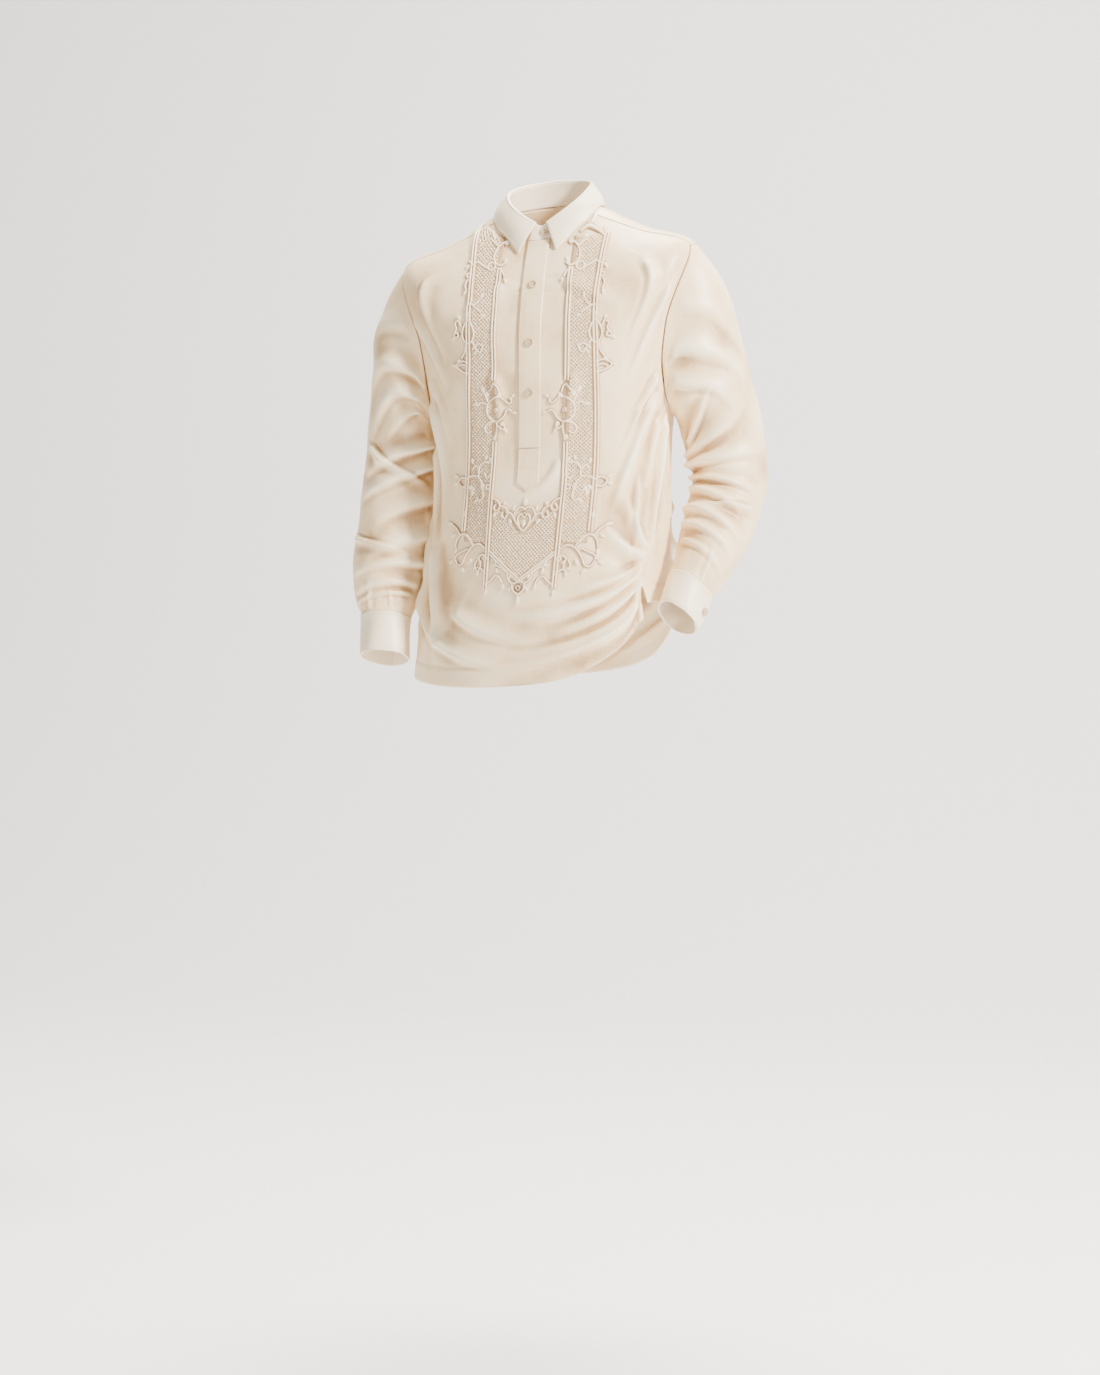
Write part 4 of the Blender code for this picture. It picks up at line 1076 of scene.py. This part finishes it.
def cord_shadow(name, paths, radius):
    """A dark band under a cord, a little wider than it and pressed flat, which outlines it: painted shadow
    along the cord's edges.
    """
    mesh = drawn_cords(paths, radius * CORD_SHADOW_SPREAD, 1)
    for vert in mesh.vertices:
        vert.co.z = max(0.15, CORD_SHADOW_LIFT + 0.5 + (vert.co.z - CORD_LIFT) * 0.45)
    piece_of(lay_down(mesh), name, cord_shadow_thread)


cord_shadow("edging_cord_shadow", cords, CORD_RADIUS)

# ---------------------------------------------------------------------------------------------------
# Vines, rings and leaves: the same round cord, couched into scrolls that run over the bands' edges, with
# padded satin leaves and petals. Each side of the front carries the mirror of the other, a little changed.
# ---------------------------------------------------------------------------------------------------
VINE_RADIUS = 1.2
VINES = (
    ((57, -37), (65, -33), (74, -35), (84, -39), (90, -43)),
    ((45, -50), (52, -52), (58, -59), (61, -70), (57, -80), (49, -84), (43, -80)),
    ((58, -56), (63, -51), (68, -48)),
    ((68, -87), (75, -83), (84, -78), (91, -81), (97, -76)),
    ((52, -88), (46, -92), (42, -100)),
    ((96, -100), (99, -108), (97, -117)),
    ((70, -149), (77, -144), (83, -139), (90, -138)),
    ((74, -131), (78, -136), (83, -139)),
    ((89, -157), (84, -166), (81, -176), (84, -186), (91, -189), (97, -183), (98, -173), (94, -163),
     (89, -157)),
    ((98, -168), (102, -160), (107, -163), (105, -170), (109, -177)),
    ((94, -189), (95, -199), (101, -209)),
    ((84, -187), (80, -193), (83, -199)),
    ((66, -194), (71, -203), (78, -196), (74, -191), (66, -194)),
    ((90, -216), (100, -213), (110, -219), (100, -227), (90, -230)),
    ((90, -221), (99, -219), (105, -222)),
    ((36, -268), (43, -263), (52, -265), (60, -272), (62, -283), (57, -293), (47, -297), (38, -291),
     (34, -284)),
    ((36, -268), (31, -272), (27, -268), (30, -263)),
    ((34, -284), (29, -281), (25, -284)),
    ((60, -272), (63, -264), (66, -258)),
    ((61, -274), (68, -270), (74, -272)),
    ((47, -297), (46, -304), (48, -315), (50, -323)),
    ((46, -302), (40, -307), (37, -302), (41, -298)),
    ((52, -297), (60, -299), (65, -306), (61, -313), (55, -310)),
    ((50, -245), (54, -251), (59, -256)),
    ((50, -245), (46, -250), (44, -257)),
    ((55, -353), (65, -353), (72, -360), (73, -371), (82, -371), (92, -375)),
    ((74, -371), (68, -379), (65, -390), (64, -400), (69, -404), (74, -400)),
    ((73, -362), (79, -356), (84, -361)),
    ((52, -368), (58, -374), (63, -368)),
    ((92, -375), (100, -372), (107, -377), (101, -385), (94, -383)),
    ((75, -466), (81, -457), (89, -451), (97, -452), (102, -459), (104, -469)),
    ((54, -471), (64, -465), (75, -469), (84, -481), (89, -492), (96, -494), (101, -487)),
    ((64, -484), (61, -494), (65, -501), (70, -494), (67, -485)),
    ((50, -484), (57, -479), (64, -484), (58, -490)),
    ((97, -452), (103, -444), (111, -438)),
    ((84, -470), (92, -474), (100, -478), (106, -485)),
    ((50, -506), (56, -500), (63, -497)),
    ((49, -401), (42, -404), (37, -411), (40, -418), (46, -415), (43, -409)),
    ((37, -411), (29, -414), (25, -421), (28, -428), (34, -425), (32, -419)),
    ((25, -421), (17, -424), (12, -432), (6, -440), (0, -447)),
    ((16, -424), (12, -416), (5, -413), (0, -417)),
    ((6, -440), (9, -430), (5, -423), (0, -428)),
    ((44, -480), (38, -486), (34, -494), (26, -497), (19, -503)),
    ((19, -503), (16, -512), (9, -517), (0, -513)),
    ((50, -520), (42, -515), (35, -508), (28, -511), (24, -518)),
    ((9, -517), (8, -526), (0, -534)),
)
RINGS = (
    (63, -84, 5.5), (46, -50, 2.2), (95, -96, 2.6), (107, -178, 3.2), (48, -281, 2.0), (57, -386, 3.0),
    (39, -300, 2.0), (66, -385, 2.2), (54, -484, 2.6), (0, -424, 2.6), (0, -524, 2.8),
)
LEAVES = (
    (44, -76, 8, 3.4, 110), (66, -44, 8, 3.4, 40), (72, -30, 7, 3.2, 20), (90, -34, 8, 3.4, 60),
    (98, -84, 8, 3.2, -50),
    (40, -104, 7, 3.0, -100), (98, -120, 8, 3.2, -80), (72, -126, 8, 3.4, 100), (67, -153, 7, 3.2, 200),
    (90, -150, 9, 4.0, 80), (112, -182, 8, 3.4, -40), (103, -155, 7, 3.2, 60), (103, -213, 8, 3.4, -50),
    (79, -202, 7, 3.2, -60), (113, -219, 8, 3.2, 0), (24, -262, 7, 3.2, 140), (21, -285, 8, 3.4, 190),
    (68, -253, 10, 4.2, 55), (78, -273, 9, 4.0, 0), (43, -261, 8, 3.4, 120), (61, -259, 8, 3.4, 80),
    (36, -309, 7, 3.2, 230), (52, -318, 7, 3.0, -60), (41, -262, 6, 3.0, 100), (84, -350, 8, 3.6, 80),
    (64, -346, 7, 3.2, 100), (56, -348, 7, 3.2, 70), (80, -388, 8, 4.0, 60), (86, -386, 8, 4.0, 120),
    (83, -394, 8, 4.0, -90), (110, -371, 8, 3.6, 30), (111, -381, 8, 3.6, -30), (76, -405, 7, 3.2, -30),
    (94, -424, 9, 3.8, 100), (115, -436, 9, 4.0, 20), (108, -452, 8, 3.8, -40), (104, -474, 8, 3.6, -90),
    (110, -489, 9, 4.0, -30), (103, -482, 7, 3.4, 60), (78, -488, 9, 4.0, -60), (65, -504, 8, 3.6, -90),
    (88, -500, 8, 3.6, 230), (68, -497, 7, 3.2, 10), (50, -530, 8, 3.4, -90), (24, -522, 8, 3.4, -110),
    (33, -500, 8, 3.6, 250), (38, -493, 7, 3.2, 200), (17, -415, 8, 3.6, 90), (30, -408, 7, 3.4, 110),
    (43, -424, 8, 3.4, -70), (20, -433, 8, 3.6, -120), (14, -508, 7, 3.2, 80), (12, -525, 8, 3.4, -50),
)
CENTRE_LEAVES = ((0, -406, 12, 5.0, 90), (0, -436, 10, 4.4, -90), (0, -541, 12, 5.0, -90))
LEAF_LIFT = 1.5


def add_leaf(form, x, z, length, width, direction):
    """A padded leaf: a small rounded form, pointed at both ends, lying in its own direction."""
    made = bmesh.ops.create_icosphere(form, subdivisions=2, radius=1)["verts"]
    turn = Matrix.Rotation(math.radians(direction), 3, "Z")
    for vert in made:
        u, v, w = vert.co
        narrow = (1 - 0.75 * abs(u) ** 1.5)
        place = turn @ Vector((u * length * 0.62, v * width * 0.72 * narrow, 0))
        vert.co = (x + place.x, z + place.y, LEAF_LIFT + w * 1.25 * narrow)


vines, leaves = [], bmesh.new()
for side in (1, -1):
    for number, points in enumerate(VINES):
        drift = 1.2 * math.sin(2.3 * number) if side < 0 else 0.0
        vines.append(smooth_path([(side * (x + drift), z + 0.8 * drift) for x, z in points]))
    for x, z, radius in RINGS:
        turn = np.linspace(0, 2 * math.pi, 21)
        across, up = side * x + radius * np.cos(turn), z + radius * np.sin(turn)
        ring = np.column_stack([across, up, np.full(21, CORD_LIFT)])
        vines.append(ring)
    for number, (x, z, length, width, direction) in enumerate(LEAVES):
        drift = 1.2 * math.sin(1.7 * number) if side < 0 else 0.0
        aim = direction if side > 0 else 180 - direction + 9 * drift
        add_leaf(leaves, side * (x + drift), z, length, width, aim)
for leaf in CENTRE_LEAVES:
    add_leaf(leaves, *leaf)
piece_of(lay_down(drawn_cords(vines, VINE_RADIUS, 1)), "vines", thread)
# Painted shadow band under the vines.
cord_shadow("vine_cord_shadow", vines, VINE_RADIUS)
mesh = bpy.data.meshes.new("leaves")
leaves.to_mesh(mesh)
leaves.free()
piece_of(lay_down(mesh), "leaves", thread)

# ---------------------------------------------------------------------------------------------------
# Stitching: single rows of small machine stitches beside the placket's edges, the seams of the yoke and
# armholes, the hems, and the edges of the collar and cuffs.
# ---------------------------------------------------------------------------------------------------
STITCH = 2.6
STITCH_GAP = 1.4
STITCH_RADIUS = 0.36


def dashes(line):
    """Short separate stitches along a line of points."""
    reach = np.concatenate([[0], np.cumsum(np.linalg.norm(np.diff(line, axis=0), axis=1))])
    starts = np.arange(0.5, reach[-1] - STITCH, STITCH + STITCH_GAP)
    places = np.add.outer(starts, np.array([0, STITCH / 2, STITCH]))
    return [np.column_stack([np.interp(row, reach, line[:, i]) for i in range(3)]) for row in places]


stitches = []
heights = np.linspace(PLACKET_BOTTOM + 3, -4, 300)
for offset in (-PLACKET_HALF + 2.2, PLACKET_HALF - 2.2):
    stitches += dashes(laid(np.full(300, offset), heights, 2.5))
turn = np.linspace(-PLACKET_HALF + 2, PLACKET_HALF - 2, 30)
for height in (PLACKET_BOTTOM + 3, PLACKET_BOTTOM - 5, TAB_SHOULDER + 22):
    stitches += dashes(laid(turn, np.full(30, height), 2.6))
tab_corners = [(-13.8, -336), (-13.8, -378), (0, -388), (13.8, -378), (13.8, -336)]
for pair in zip(tab_corners, tab_corners[1:]):
    part = smooth_path(pair, 2)
    stitches += dashes(laid(part[:, 0], part[:, 1], 2.1))
angle = np.linspace(-88, 66, 500)
stitches += dashes(front_point(angle, read(HEM_FRONT, "level", angle) + HEM_DEEP, 0.15))
angle = np.linspace(112, 268, 500)
stitches += dashes(back_point(angle, read(HEM_BACK, "level", angle) + HEM_DEEP, 0.15))
for side in (1, -1):
    level = np.linspace(-262, SHOULDER - 2, 200)
    stitches += dashes(front_point(side * (read(ARMHOLE, "front_angle", level) - 2.4), level, 0.15))
    level = np.linspace(-262, YOKE_BACK - 4, 200)
    edge = read(ARMHOLE, "back_angle", level) + 2.4
    stitches += dashes(back_point(edge if side > 0 else 360 - edge, level, 0.15))
share = np.linspace(0.004, 0.996, 600)
stitches += dashes(yoke_point(share, np.full(600, 0.045), 0.15)[0])
for share_at in (0.004, 0.996):
    part = np.linspace(0.05, 0.92, 90)
    stitches += dashes(yoke_point(np.full(90, share_at), part, 0.15)[0])
piece_of(drawn_cords(stitches, STITCH_RADIUS, 0, MM), "body_stitching", thread)

stitches = []
angle = np.linspace(FALL_STARTS + 2.4, 360 - FALL_STARTS - 2.4, 700)
stitches += dashes(fall_point(angle, np.full(700, 0.10), 0.15)[0])
for end in (FALL_STARTS + 2.4, 360 - FALL_STARTS - 2.4):
    part = np.linspace(0.10, 0.95, 40)
    stitches += dashes(fall_point(np.full(40, end), part, 0.15)[0])
for table, side, lap_at in ((SLEEVE_RIGHT, -1, 240.0), (SLEEVE_LEFT, 1, 5.0)):
    turns = cuff_turns(table, lap_at + 2, 300)
    for along in (1.014, 1.129):
        line = cuff_point(table, side, lap_at, turns[None, :-8], [along], 0.15)[0]
        stitches += dashes(line)
piece_of(drawn_cords(stitches, STITCH_RADIUS, 0, MM), "collar_and_cuff_stitching", thread)

# ---------------------------------------------------------------------------------------------------
# Buttons: turned shell, with a raised rim, a dished middle and four holes, sewn on with crossed thread.
# Three are on the placket, one on the collar stand and one on each cuff.
# ---------------------------------------------------------------------------------------------------
SHELL_DARK = (0.44, 0.29, 0.15, 1)
SHELL_PALE = (0.62, 0.46, 0.28, 1)
BUTTON_LEVELS = {"button_1": -62.0, "button_2": -146.0, "button_3": -242.0}
BUTTON_PROFILE = (
    (0.0, 1.35), (2.9, 1.35), (3.5, 1.75), (4.4, 2.35), (5.1, 2.4),
    (5.6, 2.0), (5.75, 1.3), (5.5, 0.5), (4.9, 0.1), (0.0, 0.0),
)
BUTTON_HOLE = 1.25
HOLE_RADIUS = 0.62


def shell_material():
    """Pearly shell: beige, with faint curved growth bands."""
    material, tree, shader = new_material("button shell", {
        "Base Color": (0.52, 0.37, 0.21, 1), "Roughness": 0.28, "Coat Weight": 0.5,
    })
    place = add(tree, "TexCoord", {}).outputs["Object"]
    bands = add(tree, "TexWave", {"Vector": place, "Scale": 260, "Distortion": 3}).outputs["Fac"]
    tree.links.new(add_mix(tree, bands, SHELL_DARK, SHELL_PALE), shader.inputs["Base Color"])
    return material


button_shell = shell_material()
# The holes are flat near-black discs on the dished middle: painted shade where the holes would go through.
hole_shade_disc = new_material("button hole shade", {"Base Color": (0.16, 0.09, 0.05, 1), "Roughness": 0.9})[0]


def sew_button(name, seat, outward):
    """A button on its seat, with its axis outward, four holes shown as near-black discs of painted shade, and
    two crossed threads.
    """
    form = bmesh.new()
    ring = [form.verts.new((r, 0, h)) for r, h in BUTTON_PROFILE]
    lines = [form.edges.new(pair) for pair in zip(ring, ring[1:])]
    bmesh.ops.spin(form, geom=ring + lines, axis=(0, 0, 1), cent=(0, 0, 0), steps=40, angle=2 * math.pi)
    bmesh.ops.remove_doubles(form, verts=form.verts, dist=0.001)
    bmesh.ops.recalc_face_normals(form, faces=form.faces)
    for k in range(4):
        place = Vector((BUTTON_HOLE, 0, 1.37))
        place.rotate(Matrix.Rotation(math.radians(45 + 90 * k), 3, "Z"))
        made = bmesh.ops.create_circle(form, cap_ends=True, segments=12, radius=HOLE_RADIUS)["verts"]
        bmesh.ops.translate(form, vec=place, verts=made)
        for face in {face for vert in made for face in vert.link_faces}:
            face.material_index = 1
    tilt = Vector(outward).to_track_quat("Z", "Y").to_matrix().to_4x4()
    seated = Matrix.Translation(Vector(seat) * MM) @ tilt @ Matrix.Scale(MM, 4)
    bmesh.ops.transform(form, matrix=seated, verts=form.verts)
    mesh = bpy.data.meshes.new(name)
    form.to_mesh(mesh)
    form.free()
    obj = piece_of(mesh, name + "_turned", button_shell)
    mesh.materials.append(hole_shade_disc)
    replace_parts(obj, name)
    across, up = Vector(outward).orthogonal().normalized(), Vector(outward)
    side = up.cross(across)
    threads = []
    for one, other in ((1, 1), (1, -1)):
        reach = (across * one + side * other) * (BUTTON_HOLE * 0.72)
        base = Vector(seat) + up * 1.35
        middle = [base - reach / 2 + up * 0.45, base + reach / 2 + up * 0.45]
        threads.append([list(point) for point in (base - reach, *middle, base + reach)])
    piece_of(drawn_cords(threads, 0.3, 1, MM), name + "_thread", thread)


for name, height in BUTTON_LEVELS.items():
    level = np.array([height])
    sew_button(name, laid(np.array([0.0]), level, 3.0)[0], torso_normal(np.array([0.01]), level)[0])
at = -STAND_LAP_ANGLE + (360 + 2 * STAND_LAP_ANGLE) / 26
lift = STAND_LAP_LIFT * (1 - smoothstep(0, 70, np.array([at + STAND_LAP_ANGLE]))) - 1.0
around = [stand_point(np.array([at + turn]), part, lift)[0] for turn, part in ((0, 0.5), (2, 0.5), (0, 0.7))]
outward = np.cross(around[1] - around[0], around[2] - around[0])
sew_button("button_collar", around[0] + unit(outward) * 0.3, unit(outward))
for name, table, side, lap_at in (
    ("button_cuff_right", SLEEVE_RIGHT, -1, 240.0), ("button_cuff_left", SLEEVE_LEFT, 1, 5.0),
):
    first = lap_at + (360 + np.degrees(CUFF_LAP / read(table, "half_out", 1.07))) / 20
    turns = np.array([[first, first + 2], [first, first + 2]])
    place = cuff_point(table, side, lap_at, turns, [1.072, 1.09])
    outward = unit(np.cross(place[0, 1] - place[0, 0], place[1, 0] - place[0, 0])) * side
    centre = sleeve_ring(table, side, np.arange(0, 360, 30.0), 1.072).mean(axis=0)
    if np.dot(outward, place[0, 0] - centre) < 0:
        outward = -outward
    sew_button(name, place[0, 0] + outward * 0.3, outward)

# ---------------------------------------------------------------------------------------------------
# Setting: a pale studio wall and floor in one sweep, behind and below the shirt.
# A broad soft key stands at the front right, a weaker fill at the front left, and one light above the wall.
# ---------------------------------------------------------------------------------------------------
FLOOR = -1.565
DISTANCE = 5.0
AZIMUTH = math.radians(12)
ELEVATION = math.radians(3)
AIM = Vector((0, 0, -0.666))
SWEEP_BEND = 1.5

sweep = bmesh.new()
line = [Vector((-7, -4, FLOOR))]
for degrees in range(0, 91, 6):
    turn = math.radians(degrees)
    line.append(Vector((-7, 3 + SWEEP_BEND * math.sin(turn), FLOOR + SWEEP_BEND - SWEEP_BEND * math.cos(turn))))
line.append(Vector((-7, 4.5, FLOOR + 6)))
verts = [sweep.verts.new(place) for place in line]
edges = [sweep.edges.new(pair) for pair in zip(verts, verts[1:])]
pulled = bmesh.ops.extrude_edge_only(sweep, edges=edges)["geom"]
bmesh.ops.translate(sweep, vec=(14, 0, 0), verts=[v for v in pulled if isinstance(v, bmesh.types.BMVert)])
bmesh.ops.recalc_face_normals(sweep, faces=sweep.faces)
mesh = bpy.data.meshes.new("studio_sweep")
sweep.to_mesh(mesh)
sweep.free()
mesh.shade_smooth()
paper = {"Base Color": (0.93, 0.925, 0.91, 1), "Roughness": 0.9, "Specular IOR Level": 0.1}
mesh.materials.append(new_material("studio paper", paper)[0])
studio = bpy.data.objects.new("studio_sweep", mesh)
bpy.context.scene.collection.objects.link(studio)

world = bpy.data.worlds.new("studio")
world.use_nodes = True
world.node_tree.nodes["Background"].inputs["Color"].default_value = (1.0, 0.97, 0.92, 1)
world.node_tree.nodes["Background"].inputs["Strength"].default_value = 0.36
bpy.context.scene.world = world
for name, place, size, power in (
    ("key", (3.0, -1.6, 1.6), 0.7, 560),
    ("fill", (-2.4, -3.6, 0.3), 1.8, 60),
    ("wall_light", (0.0, 1.2, 3.4), 2.5, 640),
):
    lamp = bpy.data.lights.new(name, "AREA")
    lamp.shape, lamp.size, lamp.energy = "DISK", size, power
    lamp.color = (1.0, 0.96, 0.90)
    light = bpy.data.objects.new(name, lamp)
    light.location = place
    light.rotation_euler = (Vector((0, 0, -0.35)) - Vector(place)).to_track_quat("-Z", "Y").to_euler()
    bpy.context.scene.collection.objects.link(light)

lens = bpy.data.cameras.new("camera")
lens.sensor_fit, lens.sensor_height = "VERTICAL", 24
lens.lens = 12 / (1.925 / 2 / DISTANCE)
camera = bpy.data.objects.new("camera", lens)
flat = math.cos(ELEVATION)
back_off = Vector((math.sin(AZIMUTH) * flat, -math.cos(AZIMUTH) * flat, math.sin(ELEVATION)))
camera.location = AIM + back_off * DISTANCE
camera.rotation_euler = (-back_off).to_track_quat("-Z", "Y").to_euler()
bpy.context.scene.collection.objects.link(camera)
bpy.context.scene.camera = camera
